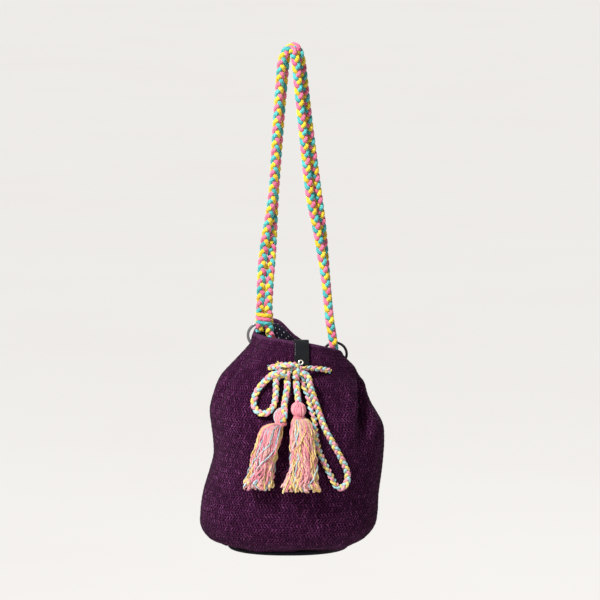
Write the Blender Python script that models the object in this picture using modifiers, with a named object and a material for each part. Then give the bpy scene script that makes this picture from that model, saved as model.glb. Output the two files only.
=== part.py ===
"""Potli bag: a crocheted drawstring sack that hangs from its braided handle.

Metres, +Z up, the front of the bag towards -Y. The origin is the point where the handle
hangs on a hook, under the top of its bend. Heights of the bag are counted up from its base.
"""
import math

import bmesh
import bpy
import numpy as np
from mathutils import Matrix, Vector
from mathutils.bvhtree import BVHTree

MM = 0.001

# The whole: the hook is this far above the underside of the base
HANG_HEIGHT = 673.4 * MM
TOUCH_GAP = 0.4 * MM

# Crochet wall, from the foot to the rim: height, shift to the right, half width, half depth
WALL_OUTLINE = [
    (4.2 * MM, -3.0 * MM, 83.0 * MM, 60.0 * MM),
    (15.0 * MM, -4.0 * MM, 107.5 * MM, 77.0 * MM),
    (31.5 * MM, -2.7 * MM, 119.2 * MM, 85.5 * MM),
    (48.0 * MM, -0.7 * MM, 120.8 * MM, 87.0 * MM),
    (72.6 * MM, 1.7 * MM, 119.8 * MM, 88.0 * MM),
    (107.0 * MM, 7.1 * MM, 117.0 * MM, 88.0 * MM),
    (127.0 * MM, 10.0 * MM, 115.6 * MM, 87.0 * MM),
    (148.0 * MM, 10.1 * MM, 116.4 * MM, 86.0 * MM),
    (168.6 * MM, 8.0 * MM, 116.6 * MM, 83.5 * MM),
    (189.0 * MM, 2.6 * MM, 112.2 * MM, 79.0 * MM),
    (210.0 * MM, 0.8 * MM, 104.4 * MM, 73.0 * MM),
    (234.0 * MM, 2.0 * MM, 94.4 * MM, 65.0 * MM),
    (247.5 * MM, 5.4 * MM, 83.7 * MM, 60.0 * MM),
    (260.2 * MM, 10.1 * MM, 73.6 * MM, 54.5 * MM),
    (267.4 * MM, 11.1 * MM, 67.2 * MM, 51.0 * MM),
    (274.0 * MM, 9.8 * MM, 63.2 * MM, 48.0 * MM),
    (280.5 * MM, 9.1 * MM, 60.4 * MM, 46.0 * MM),
]
OUTLINE_SQUARENESS = 2.25
WALL_THICKNESS = 5.0 * MM
RIDGE_PITCH = 14.0 * MM
RIDGE_RELIEF = 1.5 * MM
RIM_ROUNDING = 2.0 * MM
FOOT_WAVE = 0.8 * MM

# The rim slopes down to the right and is pulled up at its back left corner and its back
TILT_START_HEIGHT = 200.0 * MM
RIM_SLOPE_RISE = 13.0 * MM
RIM_FRONT_RISE = 7.4 * MM
RIM_TWIST_RISE = 2.0 * MM
RIM_CORNER_RISE = 14.0 * MM
RIM_BACK_RISE = 20.0 * MM

# Folds of the wall
SIDE_FOLD_DEPTH = 15.0 * MM
SIDE_BULGE = 5.0 * MM
LEFT_CREASE_DEPTH = 4.5 * MM
NECK_PLEAT_DEPTH = 2.2 * MM
MOUTH_CORNER_BULGE = 4.0 * MM
SAG_WAVE = 1.8 * MM

# Lining and base
LINING_THICKNESS = 1.2 * MM
LINING_CLEARANCE = 1.2 * MM
LINING_FOLD_ROOM = 1.8 * MM
LINING_DROP = 4.0 * MM
BASE_THICKNESS = 5.0 * MM
BASE_HALF_WIDTH = 82.0 * MM
BASE_HALF_DEPTH = 61.0 * MM

# Rings and the handle
RING_DIAMETER = 35.0 * MM
RING_WIRE = 3.6 * MM
RING_LEFT_X = -41.0 * MM
RING_LEFT_HEIGHT = 292.3 * MM
RING_RIGHT_X = 60.8 * MM
RING_RIGHT_HEIGHT = 266.5 * MM
RING_PLANE_Y = -10.0 * MM
RING_HOLE_CLEARANCE = 0.35 * MM
# The bag swings on the line between the places where the rings pass through its wall
SWING_LEFT = (RING_LEFT_X - 10.3 * MM, RING_PLANE_Y, RING_LEFT_HEIGHT - 11.8 * MM - HANG_HEIGHT)
SWING_RIGHT = (RING_RIGHT_X + 12.7 * MM, RING_PLANE_Y, RING_RIGHT_HEIGHT - 9.0 * MM - HANG_HEIGHT)
SWING_DEGREES = (-5.0, 24.0)
SWING_CUTS = 4
HANDLE_BRAID = 11.2 * MM
RUN_SIDE = HANDLE_BRAID / 2 + 0.25 * MM
BACK_RUN_X = -29.0 * MM
WRAP_RISE = 13.5 * MM
WRAP_HEIGHT = 9.5 * MM
WRAP_THICKNESS = 2.6 * MM
WRAP_ROOM = 1.1 * MM

# Drawstring, its bow and its tassels
CORD = 8.4 * MM
CORD_HOLE_CLEARANCE = 0.7 * MM
CORD_STUB = 2.2 * MM
DRAWSTRING_HEIGHT = 251.0 * MM
LEFT_EXIT_X = -17.0 * MM
RIGHT_EXIT_X = 44.0 * MM
KNOT_X = 1.5 * MM
KNOT_HEIGHT = 252.5 * MM
KNOT_LENGTH = 23.0 * MM
KNOT_DIAMETER = 18.4 * MM
KNOT_STANDOFF = 3.4 * MM
KNOT_CORD_RADIUS = 5.25 * MM
LEFT_TAIL_START_X = -3.5 * MM
RIGHT_TAIL_START_X = 8.8 * MM
LEFT_TASSEL_X = -8.5 * MM
LEFT_TASSEL_HEIGHT = 203.5 * MM
LEFT_TASSEL_LIFT = 0.0 * MM
LEFT_NECK_SHIFT = -3.6 * MM
RIGHT_TASSEL_X = 11.0 * MM
RIGHT_TASSEL_HEIGHT = 211.0 * MM
RIGHT_TASSEL_LIFT = 2.4 * MM
RIGHT_NECK_SHIFT = 1.2 * MM
TASSEL_HEAD = 19.0 * MM
TASSEL_NECK = 12.5 * MM
TASSEL_DEPTH = 19.0 * MM
TASSEL_STANDOFF = 1.4 * MM
FLUTE_SHARE = 0.06
TIE_THREAD = 2.2 * MM

# Label
LABEL_X = 15.5 * MM
LABEL_WIDTH = 20.0 * MM
LABEL_THICKNESS = 0.9 * MM
LABEL_DROP = 33.0 * MM
LABEL_TUCK = 11.0 * MM
LABEL_STANDOFF = 2.6 * MM
LABEL_TUCK_DEPTH = WALL_THICKNESS + LINING_CLEARANCE + LINING_THICKNESS + 2.2 * MM
EYELET_DIAMETER = 7.0 * MM
EYELET_BORE = 3.4 * MM
EYELET_FLANGE = 0.8 * MM
EYELET_UP = 5.5 * MM
EYELET_SHIFT = -1.6 * MM

# How finely the shapes are divided
BACK_STEP = 12.0
SIDE_STEP = 9.0
FOLD_STEP = 4.5
BELLY_RINGS = 12
BASE_STEPS = 40
RING_STEPS = 24
WIRE_STEPS = 8
TIE_STEPS = 16
KNOT_STEPS = 16
FLUTES = 14

PLUM = (0.071, 0.019, 0.066)
DARK_CLOTH = (0.010, 0.009, 0.017)
BASE_CLOTH = (0.008, 0.008, 0.014)
BRIGHT_BRAID = (0.82, 0.36, 0.28)
PASTEL_BRAID = (0.85, 0.55, 0.42)
TASSEL_PINK = (0.87, 0.26, 0.36)
TIE_PINK = (0.90, 0.22, 0.36)
GUNMETAL = (0.06, 0.06, 0.065)
PALE_METAL = (0.72, 0.70, 0.62)
LABEL_BLACK = (0.012, 0.013, 0.018)


# Materials and small helpers


def make_material(name, colour, roughness, metallic=0.0):
    """A Principled surface of one colour."""
    material = bpy.data.materials.new(name)
    material.use_nodes = True
    shader = material.node_tree.nodes["Principled BSDF"]
    shader.inputs["Base Color"].default_value = (*colour, 1.0)
    shader.inputs["Roughness"].default_value = roughness
    shader.inputs["Metallic"].default_value = metallic
    return material


def add_object(name, data, collection, material):
    """Puts a mesh or a curve into the scene under a plain name."""
    piece = bpy.data.objects.new(name, data)
    collection.objects.link(piece)
    if material is not None:
        data.materials.append(material)
    return piece


def add_mesh(name, points, faces, collection, material):
    """A smooth-shaded mesh whose faces all point outwards."""
    mesh = bpy.data.meshes.new(name)
    mesh.from_pydata([tuple(point) for point in points], [], faces)
    shape = bmesh.new()
    shape.from_mesh(mesh)
    bmesh.ops.recalc_face_normals(shape, faces=shape.faces)
    shape.to_mesh(mesh)
    shape.free()
    mesh.shade_smooth()
    return add_object(name, mesh, collection, material)


def add_cutter(name, data, cutters):
    """A shape that only cuts others."""
    cutter = add_object(name, data, cutters, None)
    cutter.hide_render = True
    cutter.display_type = "WIRE"
    return cutter


def cut(piece, cutter):
    """Takes the cutter's shape out of a piece."""
    modifier = piece.modifiers.new("cut_" + cutter.name, "BOOLEAN")
    modifier.operation = "DIFFERENCE"
    modifier.solver = "EXACT"
    modifier.object = cutter


def grid_faces(rows, columns, closed_rows):
    """Quads of a grid whose columns close on themselves, and its rows too if asked."""
    last = rows if closed_rows else rows - 1
    faces = []
    for row in range(last):
        above = (row + 1) % rows
        for column in range(columns):
            beside = (column + 1) % columns
            faces.append((
                row * columns + column,
                row * columns + beside,
                above * columns + beside,
                above * columns + column,
            ))
    return faces


def finished_mesh(name, shape):
    """A smooth-shaded mesh from an edit mesh."""
    mesh = bpy.data.meshes.new(name)
    shape.to_mesh(mesh)
    shape.free()
    mesh.shade_smooth()
    return mesh


def turn_round_axis(piece, steps):
    """Turns a profile at +X once round the piece's own Z axis."""
    screw = piece.modifiers.new("turned", "SCREW")
    screw.steps = steps
    screw.render_steps = steps
    screw.use_merge_vertices = True
    screw.merge_threshold = 0.00001
    screw.use_smooth_shade = True


def torus_mesh(name, radius, wire, steps):
    """A round ring of wire about the Z axis."""
    shape = bmesh.new()
    profile = []
    for step in range(WIRE_STEPS):
        angle = 2 * math.pi * step / WIRE_STEPS
        x = radius + wire / 2 * math.cos(angle)
        profile.append(shape.verts.new((x, 0.0, wire / 2 * math.sin(angle))))
    edges = [shape.edges.new((profile[i], profile[i - 1])) for i in range(WIRE_STEPS)]
    bmesh.ops.spin(
        shape, geom=profile + edges, cent=(0, 0, 0), axis=(0, 0, 1),
        angle=2 * math.pi, steps=steps, use_merge=True,
    )
    bmesh.ops.remove_doubles(shape, verts=shape.verts, dist=0.00001)
    bmesh.ops.recalc_face_normals(shape, faces=shape.faces)
    return finished_mesh(name, shape)


def smooth_curve(points, step):
    """Points about one step apart on a smooth curve through the given ones."""
    points = np.array(points, dtype=float)
    first = 2 * points[0] - points[1]
    last = 2 * points[-1] - points[-2]
    padded = np.vstack([first, points, last])
    dense = []
    for index in range(len(points) - 1):
        p0, p1, p2, p3 = padded[index:index + 4]
        for t in np.linspace(0.0, 1.0, 24, endpoint=False):
            dense.append(0.5 * (
                2 * p1 + (p2 - p0) * t
                + (2 * p0 - 5 * p1 + 4 * p2 - p3) * t ** 2
                + (3 * p1 - p0 - 3 * p2 + p3) * t ** 3
            ))
    dense.append(points[-1])
    dense = np.array(dense)
    lengths = np.linalg.norm(np.diff(dense, axis=0), axis=1)
    along = np.concatenate([[0.0], np.cumsum(lengths)])
    count = max(3, int(round(along[-1] / step)) + 1)
    wanted = np.linspace(0.0, along[-1], count)
    return np.column_stack([np.interp(wanted, along, dense[:, axis]) for axis in range(3)])


def read_curve(points, longest, sharpest_degrees):
    """Points of a smooth curve, close together at its bends and further apart on its runs."""
    dense = smooth_curve(points, 0.5 * MM)
    kept = [dense[0]]
    last_direction = dense[1] - dense[0]
    last_direction /= np.linalg.norm(last_direction)
    travelled = 0.0
    for before, here in zip(dense[:-1], dense[1:]):
        step = here - before
        travelled += np.linalg.norm(step)
        direction = step / np.linalg.norm(step)
        bent = math.acos(min(1.0, float(direction @ last_direction)))
        if travelled > longest or bent > math.radians(sharpest_degrees):
            kept.append(here)
            last_direction = direction
            travelled = 0.0
    if travelled < longest / 4:
        kept.pop()
    kept.append(dense[-1])
    return np.array(kept)


def cord_points(route, diameter):
    """A cord's points: its first and last two stay, so that it leaves its ends squarely."""
    middle = read_curve(route[1:-1], 2.4 * diameter, 30.0)
    return np.vstack([route[0], middle, route[-1]])


def tube_curve(name, points, diameter):
    """A round tube along straight pieces between points, with closed ends."""
    curve = bpy.data.curves.new(name, "CURVE")
    curve.dimensions = "3D"
    curve.bevel_depth = diameter / 2
    curve.bevel_resolution = 2
    curve.use_fill_caps = True
    spline = curve.splines.new("POLY")
    spline.points.add(len(points) - 1)
    for spline_point, point in zip(spline.points, points):
        spline_point.co = (*point, 1.0)
    return curve


def tube_mesh(name, points, diameter):
    """The same tube as a closed mesh."""
    curve = tube_curve(name, points, diameter)
    holder = bpy.data.objects.new(name, curve)
    bpy.context.scene.collection.objects.link(holder)
    bpy.context.view_layer.update()
    evaluated = holder.evaluated_get(bpy.context.evaluated_depsgraph_get())
    mesh = bpy.data.meshes.new_from_object(evaluated)
    bpy.data.objects.remove(holder)
    shape = bmesh.new()
    shape.from_mesh(mesh)
    bmesh.ops.remove_doubles(shape, verts=shape.verts, dist=0.00001)
    shape.to_mesh(mesh)
    shape.free()
    return mesh


# The bag's wall as one surface of two numbers: the turn round it and the rise up it


def read_outline():
    """The outline as a smooth curve, with its share of the whole rise at each point."""
    outline = np.array(WALL_OUTLINE)
    steps = np.hypot(np.diff(outline[:, 0]), np.diff(outline[:, 2]))
    rise = np.concatenate([[0.0], np.cumsum(steps)])
    return rise[-1], rise / rise[-1], outline


WALL_LENGTH, OUTLINE_RISE, OUTLINE = read_outline()


def outline_value(rise, column):
    """One column of the outline at a rise, on a curve that runs smoothly through its points."""
    values = OUTLINE[:, column]
    slopes = np.gradient(values, OUTLINE_RISE)
    rise = np.asarray(rise, dtype=float)
    inside = np.clip(rise, 0.0, 1.0)
    index = np.clip(np.searchsorted(OUTLINE_RISE, inside, side="right") - 1, 0, len(values) - 2)
    span = OUTLINE_RISE[index + 1] - OUTLINE_RISE[index]
    t = (inside - OUTLINE_RISE[index]) / span
    cubic = (
        (2 * t ** 3 - 3 * t ** 2 + 1) * values[index]
        + (t ** 3 - 2 * t ** 2 + t) * span * slopes[index]
        + (3 * t ** 2 - 2 * t ** 3) * values[index + 1]
        + (t ** 3 - t ** 2) * span * slopes[index + 1]
    )
    return cubic + (rise - inside) * np.where(rise > 1.0, slopes[-1], slopes[0])


def hill(value, centre, width):
    """A smooth bump of height one."""
    return np.exp(-((value - centre) / width) ** 2)


def turn_hill(turn, centre_degrees, width_degrees):
    """A smooth bump of height one in the turn, which closes at a full turn."""
    away = (np.degrees(turn) - centre_degrees + 180.0) % 360.0 - 180.0
    return np.exp(-(away / width_degrees) ** 2)


def rise_at_height(height):
    """The rise at which the outline reaches a height."""
    return float(np.interp(height, OUTLINE[:, 0], OUTLINE_RISE))


def rim_lift(turn):
    """How much higher or lower than its outline the rim runs at each turn."""
    return (
        -RIM_SLOPE_RISE * np.cos(turn)
        - RIM_FRONT_RISE * np.sin(turn)
        - RIM_TWIST_RISE * np.sin(2 * turn)
        + RIM_CORNER_RISE * turn_hill(turn, 138.0, 22.0)
        + RIM_BACK_RISE * turn_hill(turn, 110.0, 21.0)
    )


def fold_depth(turn, rise):
    """How far the cloth is folded in, or bulged out if negative, at a place on the wall."""
    fold_turn = 318.0 + 24.0 * np.clip((rise - 0.55) / 0.3, 0.0, 1.0)
    side_fold = SIDE_FOLD_DEPTH * turn_hill(turn, fold_turn, 7.5) * hill(rise, 0.72, 0.135)
    side_bulge = SIDE_BULGE * turn_hill(turn, fold_turn + 19.0, 12.0) * hill(rise, 0.66, 0.15)
    front_lip = SIDE_BULGE * 0.7 * turn_hill(turn, fold_turn - 13.0, 8.0) * hill(rise, 0.74, 0.15)
    left_crease = LEFT_CREASE_DEPTH * turn_hill(turn, 205.0, 8.0) * hill(rise, 0.78, 0.17)
    pleats = NECK_PLEAT_DEPTH * 0.5 * (1 + np.cos(10 * turn + 0.6)) * hill(rise, 0.90, 0.09)
    mouth_corner = MOUTH_CORNER_BULGE * turn_hill(turn, 333.0, 17.0) * hill(rise, 0.98, 0.08)
    sag = SAG_WAVE * np.sin(3 * turn + 9 * rise) * np.sin(np.pi * np.clip(rise, 0, 1))
    return side_fold - side_bulge - front_lip + left_crease + pleats - mouth_corner + sag


def smooth_wall(turn, rise):
    """The wall's outer surface in metres, folds included and rows of stitches not."""
    turn = np.asarray(turn, dtype=float)
    rise = np.asarray(rise, dtype=float)
    height = outline_value(rise, 0)
    power = 2.0 / OUTLINE_SQUARENESS
    cosine = np.cos(turn)
    sine = np.sin(turn)
    depth = fold_depth(turn, rise)
    half_width = outline_value(rise, 2) - depth
    half_depth = outline_value(rise, 3) - depth
    x = outline_value(rise, 1) + half_width * np.sign(cosine) * np.abs(cosine) ** power
    y = half_depth * np.sign(sine) * np.abs(sine) ** power
    tilt = np.clip((height - TILT_START_HEIGHT) / (OUTLINE[-1, 0] - TILT_START_HEIGHT), 0.0, 1.3)
    foot_wave = FOOT_WAVE * (1 + np.sin(5 * turn + 0.9)) * hill(rise, 0.0, 0.04)
    z = height + tilt ** 1.5 * rim_lift(turn) + foot_wave - HANG_HEIGHT
    return np.stack([x, y, z], axis=-1)


def wall_point(turn, rise, depth=0.0):
    """A point a depth inside the wall's outer surface, measured square to it."""
    nudge_turn = 0.02
    nudge_rise = 0.006
    along = smooth_wall(turn + nudge_turn, rise) - smooth_wall(turn - nudge_turn, rise)
    up = smooth_wall(turn, rise + nudge_rise) - smooth_wall(turn, rise - nudge_rise)
    normal = np.cross(along, up)
    normal = normal / np.linalg.norm(normal, axis=-1, keepdims=True)
    return smooth_wall(turn, rise) - normal * np.asarray(depth)[..., None]


def wall_turns():
    """The turns that the wall is divided at: closest at the side fold, widest at the back."""
    stretches = [
        (-12.0, 24.0, SIDE_STEP), (24.0, 156.0, BACK_STEP),
        (156.0, 300.0, SIDE_STEP), (300.0, 348.0, FOLD_STEP),
    ]
    turns = [np.linspace(start, end, max(1, int(round((end - start) / step))), endpoint=False)
             for start, end, step in stretches]
    return np.radians(np.concatenate(turns))


TURNS = wall_turns()


def wall_rings(rises, depths):
    """One closed ring of points for each rise and depth."""
    steps = len(TURNS)
    return np.array([
        wall_point(TURNS, np.full(steps, rise), np.full(steps, depth))
        for rise, depth in zip(rises, depths)
    ])


def front_turn(x, rise):
    """The turn at which the front of the wall passes a given x."""
    ratio = (x - outline_value(rise, 1)) / outline_value(rise, 2)
    cosine = np.sign(ratio) * np.abs(ratio) ** (OUTLINE_SQUARENESS / 2)
    return 2 * np.pi - np.arccos(np.clip(cosine, -0.999, 0.999))


def make_front_finder():
    """A tree of the wall's smooth surface, to lay things against its front."""
    turns = np.linspace(np.pi, 2 * np.pi, 73)
    rises = np.linspace(0.0, 1.0, 61)
    grid = smooth_wall(*np.meshgrid(turns, rises))
    columns = len(turns)
    faces = [
        (row * columns + column, row * columns + column + 1,
         (row + 1) * columns + column + 1, (row + 1) * columns + column)
        for row in range(len(rises) - 1)
        for column in range(columns - 1)
    ]
    return BVHTree.FromPolygons([Vector(point) for point in grid.reshape(-1, 3)], faces)


FRONT_FINDER = make_front_finder()


def front_y(x, height):
    """The y of the wall's front at an x and a height above the base."""
    start = Vector((x, -1.0, height - HANG_HEIGHT))
    place = FRONT_FINDER.ray_cast(start, Vector((0.0, 1.0, 0.0)))[0]
    return place.y


def laid_on_front(x, height, standoff):
    """A point in front of the wall by a stand-off."""
    return (x, front_y(x, height) - standoff, height - HANG_HEIGHT)


# Rings: where they sit and where they pass through the wall

RING_RADIUS = (RING_DIAMETER - RING_WIRE) / 2
RING_CENTRES = {
    "left": np.array([RING_LEFT_X, RING_PLANE_Y, RING_LEFT_HEIGHT - HANG_HEIGHT]),
    "right": np.array([RING_RIGHT_X, RING_PLANE_Y, RING_RIGHT_HEIGHT - HANG_HEIGHT]),
}


def add_ring(name, centre, wire, collection, material):
    """A round ring of wire in the plane that faces the front."""
    ring = add_object(name, torus_mesh(name, RING_RADIUS, wire, RING_STEPS), collection, material)
    ring.location = Vector(centre)
    ring.rotation_euler = (math.radians(90.0), 0.0, 0.0)
    return ring


# The handle: one braid, doubled through the right ring and back to the left one


LEFT_PULL = Vector((0.035, 0.0, 1.0)).normalized()
RIGHT_PULL = Vector((-0.15, 0.0, 1.0)).normalized()
LEFT_CONTACT = Vector(RING_CENTRES["left"]) + LEFT_PULL * RING_RADIUS
RIGHT_CONTACT = Vector(RING_CENTRES["right"]) + RIGHT_PULL * RING_RADIUS


def handle_route():
    """The braid's middle line, from its tail inside the mouth to its sewn end.

    Its long runs are placed by their share of the way down from the hook to the left ring.
    """
    plane = RING_PLANE_Y
    bend = RING_WIRE / 2 + HANDLE_BRAID / 2 + 0.7 * MM
    side = RUN_SIDE
    left = LEFT_CONTACT
    right = RIGHT_CONTACT
    left_pull = LEFT_PULL
    right_pull = RIGHT_PULL
    ring_z = RING_CENTRES["left"][2]

    def at(contact, pull, rise, y):
        place = contact + pull * rise
        return (place.x, plane + y, place.z)

    back_run = [
        (-24.4 * MM, plane - bend, ring_z - 7.9 * MM),
        (-26.5 * MM, plane - bend, ring_z + 2.1 * MM),
        (-28.2 * MM, plane - bend, ring_z + 14.6 * MM),
        (BACK_RUN_X, plane - side, ring_z + 28.1 * MM),
        (BACK_RUN_X, plane - side, ring_z + 47.1 * MM),
        (-27.3 * MM, plane - 2.0 * MM, 0.800 * ring_z),
        (-23.8 * MM, -0.5 * MM, 0.682 * ring_z),
        (-20.4 * MM, 5.5 * MM, 0.496 * ring_z),
        (-13.8 * MM, 5.8 * MM, 0.2624 * ring_z),
        (-7.6 * MM, 5.8 * MM, -28.0 * MM),
        (-5.0 * MM, 5.8 * MM, -6.0 * MM),
        (-1.0 * MM, 5.8 * MM, 5.2 * MM),
        (4.6 * MM, 5.8 * MM, 8.4 * MM),
        (10.4 * MM, 5.8 * MM, 4.6 * MM),
        (14.6 * MM, 5.8 * MM, -7.5 * MM),
        (17.4 * MM, 5.6 * MM, -28.0 * MM),
        (25.6 * MM, 4.2 * MM, 0.2624 * ring_z),
        (37.2 * MM, 2.4 * MM, 0.496 * ring_z),
        (43.4 * MM, 3.4 * MM, 0.6245 * ring_z),
        (48.6 * MM, 2.6 * MM, 0.798 * ring_z),
        at(right, right_pull, 36.0 * MM, side),
        at(right, right_pull, 14.0 * MM, side + 0.6 * MM),
    ]
    right_turn = [
        at(right, right_pull, 0.0, bend),
        at(right, right_pull, -0.72 * bend, 0.72 * bend),
        at(right, right_pull, -bend, 0.0),
        at(right, right_pull, -0.72 * bend, -0.72 * bend),
        at(right, right_pull, 0.0, -bend),
    ]
    front_run = [
        at(right, right_pull, 14.0 * MM, -side - 0.6 * MM),
        at(right, right_pull, 36.0 * MM, -side),
        (47.6 * MM, -9.4 * MM, 0.798 * ring_z),
        (36.4 * MM, -6.6 * MM, 0.6245 * ring_z),
        (26.6 * MM, -3.6 * MM, 0.496 * ring_z),
        (17.0 * MM, -4.6 * MM, 0.2624 * ring_z),
        (9.6 * MM, -5.8 * MM, -28.0 * MM),
        (7.9 * MM, -5.8 * MM, -10.0 * MM),
        (4.6 * MM, -5.8 * MM, 1.6 * MM),
        (-0.8 * MM, -5.8 * MM, 5.7 * MM),
        (-6.4 * MM, -5.8 * MM, 1.4 * MM),
        (-10.4 * MM, -5.8 * MM, -10.0 * MM),
        (-12.6 * MM, -5.8 * MM, -28.0 * MM),
        (-17.8 * MM, -5.8 * MM, 0.2624 * ring_z),
        (-23.4 * MM, -6.2 * MM, 0.496 * ring_z),
        (-34.6 * MM, -6.6 * MM, 0.682 * ring_z),
        (-38.6 * MM, plane - 4.0 * MM, 0.800 * ring_z),
        at(left, left_pull, 36.0 * MM, -side),
        at(left, left_pull, 16.0 * MM, -side),
        at(left, left_pull, 8.0 * MM, -side),
    ]
    left_turn = [
        at(left, left_pull, 0.0, -bend),
        at(left, left_pull, -0.72 * bend, -0.72 * bend),
        at(left, left_pull, -bend, 0.0),
        at(left, left_pull, -0.72 * bend, 0.72 * bend),
        at(left, left_pull, 0.0, bend),
        at(left, left_pull, 8.0 * MM, side),
        at(left, left_pull, 24.0 * MM, side),
    ]
    return back_run + right_turn + front_run + left_turn


def make_handle(parts, braid, metal):
    """The two rings, the braid through them and the whipping that ties its ends."""
    add_ring("ring_left", RING_CENTRES["left"], RING_WIRE, parts, metal)
    add_ring("ring_right", RING_CENTRES["right"], RING_WIRE, parts, metal)
    route = handle_route()
    points = np.vstack([read_curve(route[:-1], 2.8 * HANDLE_BRAID, 20.0), route[-1]])
    add_object("handle_braid", tube_curve("handle_braid", points, HANDLE_BRAID), parts, braid)


# The body: crochet wall, lining and base

NECK_RISE = rise_at_height(DRAWSTRING_HEIGHT)
CHANNEL_HALF = (CORD / 2 + 1.2 * MM) / WALL_LENGTH
CHANNEL_FOOT = (CORD + 7.0 * MM) / WALL_LENGTH


def inside_rises():
    """The levels that the inside of the wall is divided at, closest beside the drawstring."""
    from_neck = np.array([-CHANNEL_FOOT, -CHANNEL_HALF, CHANNEL_HALF, CHANNEL_FOOT])
    belly = np.linspace(0.0, NECK_RISE - CHANNEL_FOOT, BELLY_RINGS, endpoint=False)
    under_rim = 1.0 - LINING_DROP / WALL_LENGTH * 1.6
    return np.concatenate([belly, NECK_RISE + from_neck, [under_rim, 1.0]])


def lining_ring(rise):
    """One ring of the lining, which stands off the wall where the drawstring runs behind it."""
    away = abs(rise - NECK_RISE)
    channel = np.clip((CHANNEL_FOOT - away) / (CHANNEL_FOOT - CHANNEL_HALF), 0.0, 1.0)
    fold_room = turn_hill(TURNS, 330.0, 24.0) * hill(rise, 0.72, 0.2)
    depth = (
        WALL_THICKNESS + LINING_CLEARANCE
        + (CORD + 2 * TOUCH_GAP) * channel
        + LINING_FOLD_ROOM * fold_room
    )
    return wall_point(TURNS, np.full(len(TURNS), rise), depth)


def cut_ring_holes(body, lining, cutters):
    """Holes that leave the rings free through the whole of the bag's swing."""
    start = Vector(SWING_LEFT)
    axis = (Vector(SWING_RIGHT) - start).normalized()
    for side, centre in RING_CENTRES.items():
        for number, degrees in enumerate(np.linspace(*SWING_DEGREES, SWING_CUTS)):
            name = f"hole_for_ring_{side}_{number}"
            sweep = torus_mesh(name, RING_RADIUS, RING_WIRE + 2 * RING_HOLE_CLEARANCE, RING_STEPS)
            hole = add_cutter(name, sweep, cutters)
            turn = Matrix.Rotation(math.radians(-degrees), 4, axis)
            about_axis = Matrix.Translation(start) @ turn @ Matrix.Translation(-start)
            upright = Matrix.Translation(centre) @ Matrix.Rotation(math.radians(90.0), 4, "X")
            hole.matrix_world = about_axis @ upright
            cut(body, hole)
            cut(lining, hole)


def make_body(parts, cutters, plum, dark, base_cloth):
    """The crochet wall with its rows, the lining inside it and the base under it."""
    ridges = int(round(WALL_LENGTH / RIDGE_PITCH))
    outer_rises = np.linspace(0.0, 1.0, 2 * ridges + 1)
    relief = np.where(np.arange(2 * ridges + 1) % 2 == 1, 0.0, RIDGE_RELIEF)
    inner_rises = inside_rises()
    outer = wall_rings(outer_rises, relief)
    over_rim = wall_rings([1.0 + RIM_ROUNDING / WALL_LENGTH], [WALL_THICKNESS / 2])
    inner = wall_rings(inner_rises[::-1], np.full(len(inner_rises), WALL_THICKNESS))
    rings = np.concatenate([outer, over_rim, inner])
    faces = grid_faces(len(rings), len(TURNS), closed_rows=True)
    body = add_mesh("crochet_body", rings.reshape(-1, 3), faces, parts, plum)

    lining_top = 1.0 - LINING_DROP / WALL_LENGTH
    wall = np.array([lining_ring(rise) for rise in np.append(inner_rises[:-1], lining_top)])
    floor_height = BASE_THICKNESS + LINING_THICKNESS + 2 * TOUCH_GAP - HANG_HEIGHT
    foot = wall[0].copy()
    middle = foot.mean(axis=0)
    floor_rings = []
    for share in (0.3, 0.62, 0.88):
        floor_ring = middle + (foot - middle) * share
        floor_ring[:, 2] = floor_height
        floor_rings.append(floor_ring)
    rings = np.concatenate([np.array(floor_rings), wall])
    points = rings.reshape(-1, 3)
    faces = grid_faces(len(rings), len(TURNS), closed_rows=False)
    faces.append(tuple(reversed(range(len(TURNS)))))
    lining = add_mesh("lining", points, faces, parts, dark)
    shell = lining.modifiers.new("thickness", "SOLIDIFY")
    shell.thickness = LINING_THICKNESS
    shell.offset = -1.0

    curve = bpy.data.curves.new("base_panel", "CURVE")
    curve.dimensions = "2D"
    curve.fill_mode = "BOTH"
    curve.extrude = BASE_THICKNESS / 2
    spline = curve.splines.new("POLY")
    spline.points.add(BASE_STEPS - 1)
    spline.use_cyclic_u = True
    power = 2.0 / OUTLINE_SQUARENESS
    for step in range(BASE_STEPS):
        angle = 2 * math.pi * step / BASE_STEPS
        cosine = math.cos(angle)
        sine = math.sin(angle)
        x = BASE_HALF_WIDTH * math.copysign(abs(cosine) ** power, cosine)
        y = BASE_HALF_DEPTH * math.copysign(abs(sine) ** power, sine)
        spline.points[step].co = (x, y, 0.0, 1.0)
    base = add_object("base_panel", curve, parts, base_cloth)
    base.location = (OUTLINE[0, 1], 0.0, BASE_THICKNESS / 2 - HANG_HEIGHT)

    cut_ring_holes(body, lining, cutters)
    return body


def wrap_outline():
    """The inside of the whipping: a rounded rectangle round three runs of the braid."""
    reach = HANDLE_BRAID / 2 + WRAP_ROOM
    left = LEFT_CONTACT + LEFT_PULL * WRAP_RISE
    corners = [
        (BACK_RUN_X, RING_PLANE_Y + RUN_SIDE), (left.x, RING_PLANE_Y + RUN_SIDE),
        (left.x, RING_PLANE_Y - RUN_SIDE), (BACK_RUN_X, RING_PLANE_Y - RUN_SIDE),
    ]
    outline = []
    for index, (x, y) in enumerate(corners):
        for step in range(4):
            angle = math.radians(90.0 * index + 30.0 * step)
            outline.append((x, y, reach, math.cos(angle), math.sin(angle)))
    return outline, left.z


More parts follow.
